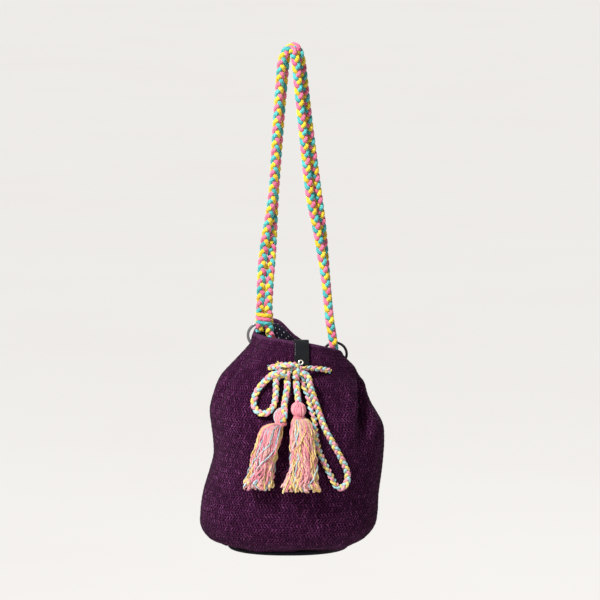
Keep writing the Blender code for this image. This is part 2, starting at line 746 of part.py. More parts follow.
def make_wrap(parts, braid):
    """The whipping round the two ends of the handle's braid, above the left ring."""
    outline, middle_z = wrap_outline()
    bulge = [(0.0, -0.5), (0.7, -0.45), (1.0, -0.25), (0.72, 0.0), (1.0, 0.25), (0.7, 0.45), (0.0, 0.5)]
    points = [
        (x + (reach + out * WRAP_THICKNESS) * cosine,
         y + (reach + out * WRAP_THICKNESS) * sine,
         middle_z + up * WRAP_HEIGHT)
        for out, up in bulge
        for x, y, reach, cosine, sine in outline
    ]
    faces = grid_faces(len(bulge), len(outline), closed_rows=True)
    add_mesh("handle_wrap", points, faces, parts, braid)


# Drawstring: its run round the neck and its knot

CORD_INSIDE = WALL_THICKNESS + CORD / 2 + 2 * TOUCH_GAP
CORD_OUTSIDE = CORD / 2 + 2 * TOUCH_GAP
KNOT_Y = front_y(KNOT_X, KNOT_HEIGHT) - KNOT_DIAMETER / 2 - KNOT_STANDOFF
KNOT = Vector((KNOT_X, KNOT_Y, KNOT_HEIGHT - HANG_HEIGHT))


def knot_end(side, angle_degrees, out=0.0):
    """A cord's place at an end face of the knot: the side is -1 or 1, the angle is from +Y."""
    angle = math.radians(angle_degrees)
    return (
        KNOT.x + side * (KNOT_LENGTH / 2 + TOUCH_GAP + out),
        KNOT.y + KNOT_CORD_RADIUS * math.cos(angle),
        KNOT.z + KNOT_CORD_RADIUS * math.sin(angle),
    )


def neck_place(turn, depth):
    """A place on the drawstring's level, a depth inside the wall."""
    return tuple(wall_point(turn, NECK_RISE, depth))


def neck_route():
    """From the knot's left end, in through the wall, round the back and out to its right end."""
    start_turn = float(front_turn(LEFT_EXIT_X, NECK_RISE))
    end_turn = float(front_turn(RIGHT_EXIT_X, NECK_RISE)) - 2 * math.pi
    into_wall = math.radians(7.0)
    over_label = CORD_OUTSIDE + LABEL_STANDOFF + LABEL_THICKNESS
    hidden = np.linspace(start_turn - 2.6 * into_wall, end_turn + 2.6 * into_wall, 24)
    return (
        [knot_end(-1, 60.0), knot_end(-1, 60.0, CORD_STUB)]
        + [neck_place(start_turn + into_wall / 2, -CORD_OUTSIDE)]
        + [neck_place(start_turn - into_wall, WALL_THICKNESS / 2)]
        + [neck_place(turn, CORD_INSIDE) for turn in hidden]
        + [neck_place(end_turn + into_wall, WALL_THICKNESS / 2)]
        + [neck_place(end_turn - into_wall / 2, -CORD_OUTSIDE)]
        + [neck_place(end_turn - 2 * into_wall, -over_label)]
        + [knot_end(1, 60.0, 2.6 * CORD_STUB), knot_end(1, 60.0)]
    )


def make_knot(parts, pastel):
    """The knot: a barrel of two turns of cord, lying along X."""
    profile = [
        (0.0, 0.5), (0.56, 0.5), (0.86, 0.44), (1.0, 0.32), (0.93, 0.2), (1.0, 0.08),
        (1.0, -0.08), (0.93, -0.2), (1.0, -0.32), (0.86, -0.44), (0.56, -0.5), (0.0, -0.5),
    ]
    shape = bmesh.new()
    points = [
        shape.verts.new((radius * KNOT_DIAMETER / 2, 0.0, along * KNOT_LENGTH))
        for radius, along in profile
    ]
    for above, below in zip(points[:-1], points[1:]):
        shape.edges.new((above, below))
    knot = add_object("bow_knot", finished_mesh("bow_knot", shape), parts, pastel)
    turn_round_axis(knot, KNOT_STEPS)
    knot.location = KNOT
    knot.rotation_euler = (0.0, math.radians(90.0), 0.0)


def make_drawstring(parts, cutters, body, pastel):
    """The drawstring, and the holes that let it through the wall."""
    points = cord_points(neck_route(), CORD)
    add_object("drawstring", tube_curve("drawstring", points, CORD), parts, pastel)
    hole = tube_mesh("hole_for_drawstring", points, CORD + 2 * CORD_HOLE_CLEARANCE)
    cut(body, add_cutter("hole_for_drawstring", hole, cutters))


# The bow's loops and tails. Each place is x, height above the base, and how far the middle
# of the cord stands off the wall, in millimetres

LEFT_LOOP = [
    (-17.5, 251.0, 19.0), (-24.5, 248.0, 14.0), (-31.0, 241.5, 9.0), (-38.5, 233.5, 5.6),
    (-44.5, 225.0, 5.2), (-48.0, 215.0, 5.2), (-48.0, 207.5, 5.2), (-44.5, 201.0, 5.2),
    (-38.0, 197.5, 5.2), (-30.5, 198.5, 5.2), (-24.5, 203.5, 5.2), (-20.5, 211.5, 5.2),
    (-19.0, 221.0, 5.6), (-18.6, 230.0, 7.0), (-18.6, 238.0, 9.5), (-17.4, 244.5, 10.5),
]
RIGHT_LOOP = [
    (20.5, 250.5, 19.0), (25.0, 245.5, 19.0), (27.0, 236.0, 16.0), (31.5, 221.0, 10.5),
    (38.0, 201.5, 6.0), (46.0, 179.5, 5.2), (58.0, 157.0, 5.2), (69.0, 136.5, 5.2),
    (76.5, 118.5, 5.2), (76.5, 105.0, 5.2), (69.5, 97.0, 5.2), (61.5, 101.0, 5.2),
    (55.5, 112.5, 5.2), (47.5, 129.0, 5.2), (39.0, 148.5, 5.2), (34.5, 168.5, 5.2),
    (32.5, 188.0, 5.2), (29.0, 201.0, 5.2), (24.0, 221.0, 5.6), (18.8, 234.0, 8.0),
    (18.0, 242.5, 10.5),
]
LEFT_TAIL = [(-3.5, 234.0, 12.5), (-5.5, 221.0, 12.0), (-7.5, 210.0, 11.4)]
RIGHT_TAIL = [(9.0, 233.0, 13.5), (10.5, 221.0, 13.6)]


def on_front(points):
    """The places of a route laid against the wall's front."""
    return [laid_on_front(x * MM, height * MM, off * MM) for x, height, off in points]


def loop_route(side, places):
    """A loop of the bow: out of the front of the knot's end and back in under it."""
    return (
        [knot_end(side, 180.0), knot_end(side, 180.0, CORD_STUB)]
        + on_front(places)
        + [knot_end(side, 300.0, CORD_STUB), knot_end(side, 300.0)]
    )


def tassel_middle(x, height, half_width, half_depth, lift):
    """The middle of a tassel's section that leans on the wall's front."""
    wall_y = min(front_y(x + share * half_width, height) for share in (-0.4, 0.0, 0.4))
    standoff = max(half_depth, TASSEL_HEAD / 2) + TASSEL_STANDOFF + lift
    return (x, wall_y - standoff, height - HANG_HEIGHT)


def tail_route(start_x, places, end_x, end_height, lift):
    """A tail of the bow: from the knot's underside down to the top of its tassel."""
    under = KNOT_DIAMETER / 2 + TOUCH_GAP
    end = tassel_middle(end_x, end_height, 0.0, 0.0, lift)
    return (
        [(start_x, KNOT.y, KNOT.z - under), (start_x, KNOT.y, KNOT.z - under - CORD_STUB)]
        + on_front(places)
        + [(end[0], end[1], end[2] + CORD_STUB), end]
    )


def make_bow(parts, pastel):
    """The two loops and the two tails that come out of the knot."""
    routes = {
        "bow_loop_left": loop_route(-1, LEFT_LOOP),
        "bow_loop_right": loop_route(1, RIGHT_LOOP),
        "tassel_tail_left": tail_route(
            LEFT_TAIL_START_X, LEFT_TAIL, LEFT_TASSEL_X, LEFT_TASSEL_HEIGHT, LEFT_TASSEL_LIFT),
        "tassel_tail_right": tail_route(
            RIGHT_TAIL_START_X, RIGHT_TAIL, RIGHT_TASSEL_X, RIGHT_TASSEL_HEIGHT, RIGHT_TASSEL_LIFT),
    }
    for name, route in routes.items():
        add_object(name, tube_curve(name, cord_points(route, CORD), CORD), parts, pastel)


# Tassels. Head: drop below its top in millimetres and share of the head's radius.
# Skirt: drop, shift of its middle to the right and half width, in millimetres

HEAD_SHAPE = [(0.0, 0.25), (1.2, 0.64), (4.5, 0.93), (9.0, 1.0), (13.0, 0.88)]
NECK_TOP = 15.6 * MM
NECK_BOTTOM = 19.2 * MM
LEFT_SKIRT = [
    (22.0, -7.0, 9.4), (29.0, -12.5, 13.4), (44.0, -21.5, 17.2), (66.0, -27.5, 18.4),
    (88.0, -31.0, 19.4), (109.0, -34.0, 20.2),
]
RIGHT_SKIRT = [
    (22.0, 1.6, 9.4), (30.0, 3.4, 12.8), (51.0, 6.4, 17.5), (75.0, 6.8, 20.0),
    (98.0, 6.2, 22.4), (119.0, 5.2, 24.3),
]


def tassel_sections(top_x, top_height, neck_shift, skirt, lift):
    """A tassel from the top of its head down: middle, half width and half depth."""
    sections = []
    neck_x = top_x + neck_shift
    for drop, share in HEAD_SHAPE:
        radius = share * TASSEL_HEAD / 2
        x = top_x + neck_shift * drop * MM / NECK_TOP
        middle = tassel_middle(x, top_height - drop * MM, radius, radius, lift)
        sections.append((middle, radius, radius))
    neck = tassel_middle(neck_x, top_height - (NECK_TOP + NECK_BOTTOM) / 2, 0.0, 0.0, lift)
    for drop in (NECK_TOP, NECK_BOTTOM):
        middle = (neck[0], neck[1], top_height - drop - HANG_HEIGHT)
        sections.append((middle, TASSEL_NECK / 2, TASSEL_NECK / 2))
    for drop, shift, half_width in skirt:
        height = top_height - drop * MM
        wide = half_width * MM
        deep = min(wide, TASSEL_DEPTH / 2)
        sections.append((tassel_middle(top_x + shift * MM, height, wide, deep, lift), wide, deep))
    return sections, neck


def make_tassel(side_name, top_x, top_height, neck_shift, skirt, lift, parts, yarn, thread):
    """A yarn tassel, round at its head and fluted down its skirt, and its neck thread."""
    sections, neck = tassel_sections(top_x, top_height - TOUCH_GAP, neck_shift, skirt, lift)
    sides = 2 * FLUTES
    points = []
    for index, (middle, half_width, half_depth) in enumerate(sections):
        flute = FLUTE_SHARE if index > len(HEAD_SHAPE) + 2 else 0.0
        for step in range(sides):
            angle = 2 * math.pi * step / sides
            swell = 1.0 + (flute if step % 2 else -flute)
            points.append((
                middle[0] + half_width * swell * math.cos(angle),
                middle[1] + half_depth * swell * math.sin(angle),
                middle[2],
            ))
    faces = grid_faces(len(sections), sides, closed_rows=False)
    faces.append(tuple(range(sides)))
    faces.append(tuple(range((len(sections) - 1) * sides, len(sections) * sides)))
    add_mesh(f"tassel_{side_name}", points, faces, parts, yarn)

    name = f"tassel_tie_{side_name}"
    tie_radius = TASSEL_NECK / 2 + TIE_THREAD / 2 + TOUCH_GAP
    tie = add_object(name, torus_mesh(name, tie_radius, TIE_THREAD, TIE_STEPS), parts, thread)
    tie.location = neck


# Label and its eyelet


def label_frame(rise, depth):
    """The middle of the label at a rise, the way across it and the way out of the wall."""
    turn = float(front_turn(LABEL_X, rise))
    middle = wall_point(turn, rise, depth)
    out = wall_point(turn, rise, depth - MM) - middle
    out /= np.linalg.norm(out)
    across = np.array([1.0, 0.0, 0.0]) - out * out[0]
    return middle, across / np.linalg.norm(across), out


def label_stations():
    """Rises and depths down the label's path: its lower end, over the rim, its tucked end."""
    outside = [
        (1.0 - LABEL_DROP * share / WALL_LENGTH, -LABEL_STANDOFF)
        for share in (1.0, 0.8, 0.55, 0.3, 0.06)
    ]
    over = [
        (1.0 + (RIM_ROUNDING + 1.4 * MM) / WALL_LENGTH, -0.3 * MM),
        (1.0 + (RIM_ROUNDING + 2.6 * MM) / WALL_LENGTH, WALL_THICKNESS * 0.6),
        (1.0 + (RIM_ROUNDING + 0.6 * MM) / WALL_LENGTH, LABEL_TUCK_DEPTH - 1.4 * MM),
    ]
    inside = [
        (1.0 - 2.0 * MM / WALL_LENGTH, LABEL_TUCK_DEPTH),
        (1.0 - LABEL_TUCK / WALL_LENGTH, LABEL_TUCK_DEPTH),
    ]
    return outside + over + inside


def make_label(parts, cutters, cloth, metal):
    """The woven tab folded over the rim, and the metal eyelet in its lower end."""
    points = []
    stations = label_stations()
    for rise, depth in stations:
        middle, across, _ = label_frame(rise, depth)
        points += [middle + across * LABEL_WIDTH * edge for edge in (-0.5, 0.0, 0.5)]
    faces = [
        (row * 3 + side, row * 3 + side + 1, row * 3 + side + 4, row * 3 + side + 3)
        for row in range(len(stations) - 1)
        for side in range(2)
    ]
    label = add_mesh("label", points, faces, parts, cloth)
    thickness = label.modifiers.new("thickness", "SOLIDIFY")
    thickness.thickness = LABEL_THICKNESS
    thickness.offset = 0.0

    eyelet_rise = 1.0 - (LABEL_DROP - EYELET_UP) / WALL_LENGTH
    place, across, out = label_frame(eyelet_rise, -LABEL_STANDOFF)
    place = place + across * EYELET_SHIFT
    groove = LABEL_THICKNESS / 2 + 0.25 * MM
    bore = EYELET_BORE / 2
    rim = EYELET_DIAMETER / 2
    barrel = bore + EYELET_FLANGE
    profile = [
        (bore, groove + EYELET_FLANGE), (rim, groove + EYELET_FLANGE * 0.6), (rim, groove),
        (barrel, groove), (barrel, -groove), (rim, -groove), (rim, -groove - EYELET_FLANGE * 0.6),
        (bore, -groove - EYELET_FLANGE),
    ]
    shape = bmesh.new()
    corners = [shape.verts.new((radius, 0.0, along)) for radius, along in profile]
    for index, corner in enumerate(corners):
        shape.edges.new((corners[index - 1], corner))
    eyelet = add_object("label_eyelet", finished_mesh("label_eyelet", shape), parts, metal)
    turn_round_axis(eyelet, RING_STEPS)
    eyelet.location = Vector(place)
    eyelet.rotation_euler = Vector(out).to_track_quat("Z", "Y").to_euler()

    hole = bmesh.new()
    bmesh.ops.create_cone(
        hole, cap_ends=True, segments=RING_STEPS, radius1=barrel + TOUCH_GAP,
        radius2=barrel + TOUCH_GAP, depth=6 * LABEL_THICKNESS,
    )
    cutter = add_cutter("hole_for_eyelet", finished_mesh("hole_for_eyelet", hole), cutters)
    cutter.location = eyelet.location
    cutter.rotation_euler = eyelet.rotation_euler
    cut(label, cutter)


def main():
    for old in list(bpy.data.objects):
        bpy.data.objects.remove(old)
    parts = bpy.data.collections.new("potli_bag")
    cutters = bpy.data.collections.new("cutters")
    bpy.context.scene.collection.children.link(parts)
    bpy.context.scene.collection.children.link(cutters)

    plum = make_material("plum_crochet", PLUM, 0.9)
    dark = make_material("lining_cloth", DARK_CLOTH, 0.8)
    base_cloth = make_material("base_cloth", BASE_CLOTH, 0.8)
    bright = make_material("bright_braid", BRIGHT_BRAID, 0.8)
    pastel = make_material("pastel_braid", PASTEL_BRAID, 0.85)
    pink = make_material("tassel_yarn", TASSEL_PINK, 0.85)
    tie = make_material("tie_thread", TIE_PINK, 0.8)
    black = make_material("woven_label", LABEL_BLACK, 0.7)
    metal = make_material("gunmetal", GUNMETAL, 0.35, 1.0)
    pale = make_material("pale_metal", PALE_METAL, 0.3, 1.0)

    body = make_body(parts, cutters, plum, dark, base_cloth)
    make_handle(parts, bright, metal)
    make_wrap(parts, bright)
    make_knot(parts, pastel)
    make_drawstring(parts, cutters, body, pastel)
    make_bow(parts, pastel)
    make_tassel("left", LEFT_TASSEL_X, LEFT_TASSEL_HEIGHT, LEFT_NECK_SHIFT, LEFT_SKIRT,
                LEFT_TASSEL_LIFT, parts, pink, tie)
    make_tassel("right", RIGHT_TASSEL_X, RIGHT_TASSEL_HEIGHT, RIGHT_NECK_SHIFT, RIGHT_SKIRT,
                RIGHT_TASSEL_LIFT, parts, pink, tie)
    make_label(parts, cutters, black, pale)


main()
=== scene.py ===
# %% [markdown]
# # A crocheted potli bag
#
# A potli is a small drawstring bag. This one is crocheted in plum cotton, lined with dotted
# cotton, closed by a plaited drawstring with two tassels, and hung from a doubled plait on two
# steel rings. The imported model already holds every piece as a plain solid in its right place.
# Here each piece gets its real surface, as points worked out with numpy, and its real material.
#
# We start by loading that model and noting its size, which the dressed bag has to keep.

import math

import bpy
import numpy as np
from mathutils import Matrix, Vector
from mathutils.bvhtree import BVHTree


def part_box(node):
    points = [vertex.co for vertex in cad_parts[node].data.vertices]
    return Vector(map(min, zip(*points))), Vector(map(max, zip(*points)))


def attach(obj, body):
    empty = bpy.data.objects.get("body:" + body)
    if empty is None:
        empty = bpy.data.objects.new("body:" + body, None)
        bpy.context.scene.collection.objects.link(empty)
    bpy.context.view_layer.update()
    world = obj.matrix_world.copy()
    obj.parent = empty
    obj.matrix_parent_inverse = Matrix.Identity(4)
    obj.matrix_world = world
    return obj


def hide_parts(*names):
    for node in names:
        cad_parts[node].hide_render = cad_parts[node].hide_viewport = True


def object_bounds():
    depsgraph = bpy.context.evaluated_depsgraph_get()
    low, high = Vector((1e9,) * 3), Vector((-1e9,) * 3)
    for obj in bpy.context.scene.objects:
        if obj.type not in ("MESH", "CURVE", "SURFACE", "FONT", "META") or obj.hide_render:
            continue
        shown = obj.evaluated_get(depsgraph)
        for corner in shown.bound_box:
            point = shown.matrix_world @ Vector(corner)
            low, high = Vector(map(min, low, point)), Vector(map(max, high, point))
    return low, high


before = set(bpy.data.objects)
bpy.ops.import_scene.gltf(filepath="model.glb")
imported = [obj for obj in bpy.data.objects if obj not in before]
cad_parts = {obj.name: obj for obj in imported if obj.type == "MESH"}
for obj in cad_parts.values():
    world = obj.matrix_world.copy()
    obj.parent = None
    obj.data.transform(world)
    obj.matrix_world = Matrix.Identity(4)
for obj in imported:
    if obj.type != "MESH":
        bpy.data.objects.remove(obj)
MM = 0.001
CAD_BOX = [list(corner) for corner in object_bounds()]
print("solids:", len(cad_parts), "box:", CAD_BOX)

# %% [markdown]
# ## The camera
#
# The photograph was taken from straight in front, a little above the bag, with a long lens.
# In it one pixel is 1.35 mm at the bag. From that we get the lens: the frame is 600 pixels wide
# and is seen from 6 m away. The camera looks 9 degrees down.

# %% Place the camera
PIXEL = 1.35 * MM
FRAME_PIXELS = 600
CAMERA_DISTANCE = 6.0
CAMERA_ELEVATION = math.radians(9.0)
LOOK_AT = Vector((13.5 * MM, 0.0, -334.6 * MM))
SENSOR = 36.0


def put_in_scene(data):
    """A new object that holds the data, under the same name."""
    holder = bpy.data.objects.new(data.name, data)
    bpy.context.scene.collection.objects.link(holder)
    return holder


def aim(holder, place, target):
    """Moves a camera or a lamp to a place and points it at a target."""
    holder.location = place
    holder.rotation_euler = (target - Vector(place)).to_track_quat("-Z", "Y").to_euler()


camera_data = bpy.data.cameras.new("photo_camera")
camera_data.sensor_width = SENSOR
camera_data.lens = SENSOR * CAMERA_DISTANCE / (PIXEL * FRAME_PIXELS)
bpy.context.scene.camera = put_in_scene(camera_data)
back = Vector((0.0, -math.cos(CAMERA_ELEVATION), math.sin(CAMERA_ELEVATION)))
aim(bpy.context.scene.camera, LOOK_AT + back * CAMERA_DISTANCE, LOOK_AT)
print("lens", round(camera_data.lens, 1), "mm")

# %% [markdown]
# ## Small helpers for curves
#
# Yarn, plaits and folded tape are all a section carried along a path. A path is given by a few
# places, so we need a smooth curve through them, and a frame that travels along it: the way it
# runs, a side and a back. If the side were worked out afresh at each point it could flip over
# at a bend, so instead it is carried on from point to point and only turned as the path turns.

# %% Curves and frames
CURVE_STEPS = 24


def unit(vectors):
    """Each vector divided by its own length."""
    return vectors / np.linalg.norm(vectors, axis=-1, keepdims=True)


def signed_power(value, power):
    """The value's size raised to a power, with its own sign."""
    return np.sign(value) * np.abs(value) ** power


def squared_circle(angle, power):
    """The angle's cosine and sine to a power. A power under 1 squares the circle off."""
    return signed_power(np.cos(angle), power), signed_power(np.sin(angle), power)


def through(places, steps):
    """A curve through all places: on each stretch a cubic whose slope at a place is half the
    step between its two neighbours, read at a number of equal steps."""
    places = np.asarray(places, dtype=float)
    ends = np.concatenate([[2 * places[0] - places[1]], places, [2 * places[-1] - places[-2]]])
    p0, p1, p2, p3 = (ends[i:len(ends) - 3 + i, None] for i in range(4))
    t = np.linspace(0.0, 1.0, steps, endpoint=False).reshape(1, -1, *[1] * (places.ndim - 1))
    cubic = 0.5 * (2 * p1 + (p2 - p0) * t + (2 * p0 - 5 * p1 + 4 * p2 - p3) * t ** 2
                   + (3 * p1 - p0 - 3 * p2 + p3) * t ** 3)
    return np.concatenate([cubic.reshape(-1, *places.shape[1:]), places[-1:]])


def distance_along(path):
    """How far each point lies along the path."""
    return np.concatenate([[0.0], np.cumsum(np.linalg.norm(np.diff(path, axis=0), axis=1))])


def smooth_path(places, step):
    """Points one step apart on the smooth curve through the places."""
    dense = through(places, CURVE_STEPS)
    along = distance_along(dense)
    wanted = np.linspace(0.0, along[-1], max(3, round(along[-1] / step) + 1))
    return np.column_stack([np.interp(wanted, along, dense[:, axis]) for axis in range(3)])


def carried_frame(path, first_side):
    """The side and the back of the path at each point. The next side is the last one less its
    share along the path, so it never twists; the back is the path's direction cross the side."""
    directions = unit(np.gradient(path, axis=0))
    side = np.asarray(first_side, dtype=float)
    sides = []
    for direction in directions:
        side = side - direction * (side @ direction)
        side = side / np.linalg.norm(side)
        sides.append(side)
    sides = np.array(sides)
    return sides, np.cross(directions, sides)


quarter = smooth_path([(1.0, 0.0, 0.0), (0.7, 0.0, 0.7), (0.0, 0.0, 1.0)], 0.05)
print("a quarter round through 3 places is", round(float(distance_along(quarter)[-1]), 3), "long")

# %% [markdown]
# ## Small helpers for meshes
#
# Every new piece is one or more grids of points whose columns run round and close: a tube, a
# wall or a torus. One function turns such grids into a mesh, with a UV map that says how far
# round and how far along each point is, because cloth patterns have to follow the cloth.

# %% Tubes and meshes
def tubes(middles, sides, backs, half_side, half_back, columns, squareness=2.0, ripple=1.0):
    """Rings round the middles: middle + side * a * cos(q) + back * b * sin(q), q once round,
    with both to the power 2 / squareness. A side or a back may be one direction for all."""
    q = np.linspace(0.0, 2 * np.pi, columns, endpoint=False)
    cosine, sine = squared_circle(q, 2.0 / squareness)
    across = np.asarray(half_side)[..., None] * cosine * ripple
    away = np.asarray(half_back)[..., None] * sine * ripple
    return (middles[..., None, :] + across[..., None] * sides[..., None, :]
            + away[..., None] * backs[..., None, :])


def skin(name, patches, along, materials, around=1.0, slots=None):
    """A smooth mesh from one patch or more, of rows by columns of points. Its UV map counts from
    nought to around on the way round, and gives each row its own value along. A face joins a
    point, the next one round, and the two above. The columns close; the rows close too if there
    is one more value along than rows, and get a cap at each end if not."""
    patches = patches.reshape(-1, *patches.shape[-3:])
    count, rows, columns = patches.shape[:3]
    around = np.linspace(0.0, around, columns + 1)
    p, i, j = np.indices((count, len(along) - 1, columns))
    corners = ((0, 0), (0, 1), (1, 1), (1, 0))
    faces = np.stack([(p * rows + (i + up) % rows) * columns + (j + on) % columns
                      for up, on in corners], axis=-1).reshape(-1, 4).tolist()
    uv = np.stack([np.stack([around[j + on], along[i + up]], axis=-1)
                   for up, on in corners], axis=-2).reshape(-1, 2)
    slots = np.zeros(count, dtype=int) if slots is None else np.asarray(slots)
    face_slots = np.repeat(slots, (len(along) - 1) * columns)
    if len(along) == rows:
        first = np.arange(count)[:, None] * rows * columns + np.arange(columns)[::-1]
        last = first[:, ::-1] + (rows - 1) * columns
        faces += first.tolist() + last.tolist()
        uv = np.concatenate([uv, np.zeros((2 * count * columns, 2))])
        face_slots = np.concatenate([face_slots, slots, slots])

    mesh = bpy.data.meshes.new(name)
    mesh.from_pydata(patches.reshape(-1, 3).tolist(), [], faces)
    mesh.uv_layers.new(name="cloth").data.foreach_set("uv", uv.ravel())
    for material in materials:
        mesh.materials.append(material)
    mesh.polygons.foreach_set("material_index", face_slots)
    mesh.shade_smooth()
    return put_in_scene(mesh)


def set_in_place(piece, body, slot, *nodes):
    """Fixes a finished piece to the body it moves with and hides the solids it stands for."""
    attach(piece, body)
    if nodes:
        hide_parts(*nodes)
    print(piece.name, "faces", len(piece.data.polygons), "rides on", body)
    return piece


east, north, up_axis = np.eye(3)
test_ring = tubes(np.zeros((1, 3)), east, north, 1.0, 0.5, 8)
print("a ring of", test_ring.shape[-2], "points reaches", test_ring.max(axis=(0, 1)))

# %% [markdown]
# ## Small helpers for materials
#
# Colours are written as they look on a screen (sRGB hex) and turned into the linear values
# that the renderer counts in. A material is a handful of nodes, and one function adds any of
# them, with its settings and what feeds it.

# %% Colours and nodes
def linear(colour):
    """sRGB hex to linear: c / 12.92 near black, and ((c + 0.055) / 1.055) ** 2.4 above."""
    channels = np.array([int(colour[i:i + 2], 16) for i in (1, 3, 5)]) / 255.0
    bright = ((channels + 0.055) / 1.055) ** 2.4
    return (*np.where(channels <= 0.04045, channels / 12.92, bright).tolist(), 1.0)


def feed(node, feeds):
    """Gives inputs, by name or number, what they hold: a plain value, or a link to an output."""
    for key, value in feeds.items():
        if isinstance(value, bpy.types.NodeSocket):
            node.id_data.links.new(value, node.inputs[key])
        else:
            node.inputs[key].default_value = value


def add(tree, kind, feeds, out=0, **settings):
    """Adds a node with its settings and its feeds, and gives back one of its outputs."""
    made = tree.nodes.new("ShaderNode" + kind)
    for key, value in settings.items():
        setattr(made, key, value)
    feed(made, feeds)
    return made.outputs[out]


def new_material(name, roughness, metallic=0.0, sheen=0.0, specular=0.5):
    """A Principled material, its node tree and its shader."""
    material = bpy.data.materials.new(name)
    material.use_nodes = True
    shader = material.node_tree.nodes["Principled BSDF"]
    feed(shader, {"Roughness": roughness, "Metallic": metallic, "Sheen Weight": sheen,
                  "Sheen Roughness": 0.5, "Specular IOR Level": specular})
    return material, material.node_tree, shader


print("a middle grey is", round(linear("#808080")[0], 3), "in linear light")

# %% [markdown]
# ## Soft cotton strands
#
# The plaits and tassels are soft cotton yarn. Yarn is a few plies twisted together, so a strand
# shows fine slanting grooves, a matt face and a soft light edge of loose fibres. The grooves are
# a sine of how far round plus how far along, and are painted a little darker as shade. The real
# lay of such yarn is about 4 mm; it is drawn at 6 mm so that it still shows from the camera.

# %% Dye the yarns
YARN_LAY = 6.0 * MM
YARN_PLIES = 4


def soft_cotton(name, colour, shade):
    """Spun cotton yarn: ply grooves from the UV map, their darker colour painted shade, and
    patches of dye from a noise.
    """
    material, tree, shader = new_material(name, 0.85, sheen=0.3, specular=0.2)
    uv = add(tree, "SeparateXYZ", {0: add(tree, "UVMap", {}, uv_map="cloth")})
    around, along = uv.node.outputs[:2]
    phase = add(tree, "Math", {0: around, 1: float(YARN_PLIES), 2: along}, operation="MULTIPLY_ADD")
    turned = add(tree, "Math", {0: phase, 1: 2 * math.pi}, operation="MULTIPLY")
    groove = add(tree, "Math", {0: turned}, operation="SINE")
    place = add(tree, "TexCoord", {}, out=3)
    fibres = add(tree, "TexNoise", {"Vector": place, "Scale": 900.0, "Detail": 2.0})
    dye = add(tree, "TexNoise", {"Vector": place, "Scale": 60.0, "Detail": 1.0})
    # The grooves darken the colour as painted shade; the noise is real patches of dye.
    tone = add(tree, "Math", {0: groove, 1: 0.1, 2: dye}, operation="MULTIPLY_ADD")
    depth = add(tree, "MapRange", {"Value": tone, "From Min": 0.3, "From Max": 0.6})
    dye_and_painted_shading = add(tree, "Mix", {0: depth, 6: linear(shade), 7: linear(colour)}, out=2,
               data_type="RGBA")
    height = add(tree, "Math", {0: groove, 1: 0.5, 2: fibres}, operation="MULTIPLY_ADD")
    grooves = add(tree, "Bump", {"Height": height, "Distance": 0.5 * MM})
    feed(shader, {"Base Color": dye_and_painted_shading, "Normal": grooves})
    return material


def yarns(*colours_and_groove_shades):
    """A soft cotton for each name, with its colour and the darker colour of its grooves,
    which is painted shade.
    """
    return [soft_cotton("soft_cotton_" + name, colour, shade) for name, colour, shade in colours_and_groove_shades]


bright_cotton = yarns(
    ("bright_pink", "#f57f9f", "#e2658c"), ("bright_yellow", "#f6dc3c", "#e8b92a"),
    ("turquoise", "#58c5c2", "#3fa6a6"))
pastel_cotton = yarns(
    ("pale_pink", "#f8a9ba", "#ea90a6"), ("pale_yellow", "#fae389", "#f0cb5e"),
    ("pale_blue", "#b0dcdf", "#8bc4ca"))
tassel_cotton = yarns(
    ("tassel_pink", "#ffa2b0", "#f88fa0"), ("tassel_yellow", "#ffe49c", "#fbcf7c"),
    ("tassel_blue", "#c8e0e8", "#accbd8"), ("tassel_pale", "#ffc2bc", "#faa8a6"))
print("yarn materials:", len(bright_cotton + pastel_cotton + tassel_cotton))

# %% [markdown]
# ## The three-strand plait
#
# In a plait each strand crosses from one edge to the other and dips behind or before its
# neighbours as it goes. Seen along the plait it draws a figure of eight: its place across is a
# sine, and its place in depth is a sine of twice the angle. Three strands follow the same
# figure a third of a turn apart. One function can then plait any cord along any path. The
# repeat is short, 2.65 widths as in the photograph, because the strands are plump and tight.

# %% Plait a cord
HANDLE_PLAIT = 11.2 * MM
CORD = 8.4 * MM
STRAND_COLUMNS = 12
# Shares of the plait's width: a repeat, a strand's reach across and behind, half its section
PLAIT_REPEAT = 2.65
REACH_ACROSS, REACH_BEHIND = 0.25, 0.175
HALF_ACROSS, HALF_BEHIND = 0.29, 0.24
SWELL = 0.12


def plait(name, path, width, first_side, materials):
    """Strand k of 3, with a = 2 pi (distance / repeat + k / 3), lies across the path by
    a share of the width times sin(a) and behind it by another times sin(2a). Its section is an
    oval that swells as it crosses the others. The width is one number, or one for each point."""
    sides, backs = carried_frame(path, first_side)
    along = distance_along(path)
    a = 2 * np.pi * (along / (PLAIT_REPEAT * np.max(width)) + np.arange(3)[:, None] / 3)
    middles = (path + (REACH_ACROSS * width * np.sin(a))[..., None] * sides
               + (REACH_BEHIND * width * np.sin(2 * a))[..., None] * backs)
    puff = width * (1.0 + SWELL * (np.abs(np.sin(2 * a)) - 0.5))
    sections = tubes(middles, sides, backs, HALF_ACROSS * puff, HALF_BEHIND * puff, STRAND_COLUMNS)
    return skin(name, sections, along / YARN_LAY, materials, slots=[0, 1, 2])


print("lobes along the handle's edge:", round(PLAIT_REPEAT * HANDLE_PLAIT / 3 / MM, 1), "mm apart")

# %% [markdown]
# ## The shape of the bag
#
# The cords lie against the bag and run through it, so its shape comes before them. The wall is
# a surface of two numbers: the turn round the bag and the rise up it. At each rise the outline
# gives a height, a shift, a half width and a half depth, and the ring is an oval a little squarer
# than an ellipse. Folds, gathers and the sagging rim are smooth bumps added to that ring.

# %% The bag's outline and folds
HANG_HEIGHT = -CAD_BOX[0][2]
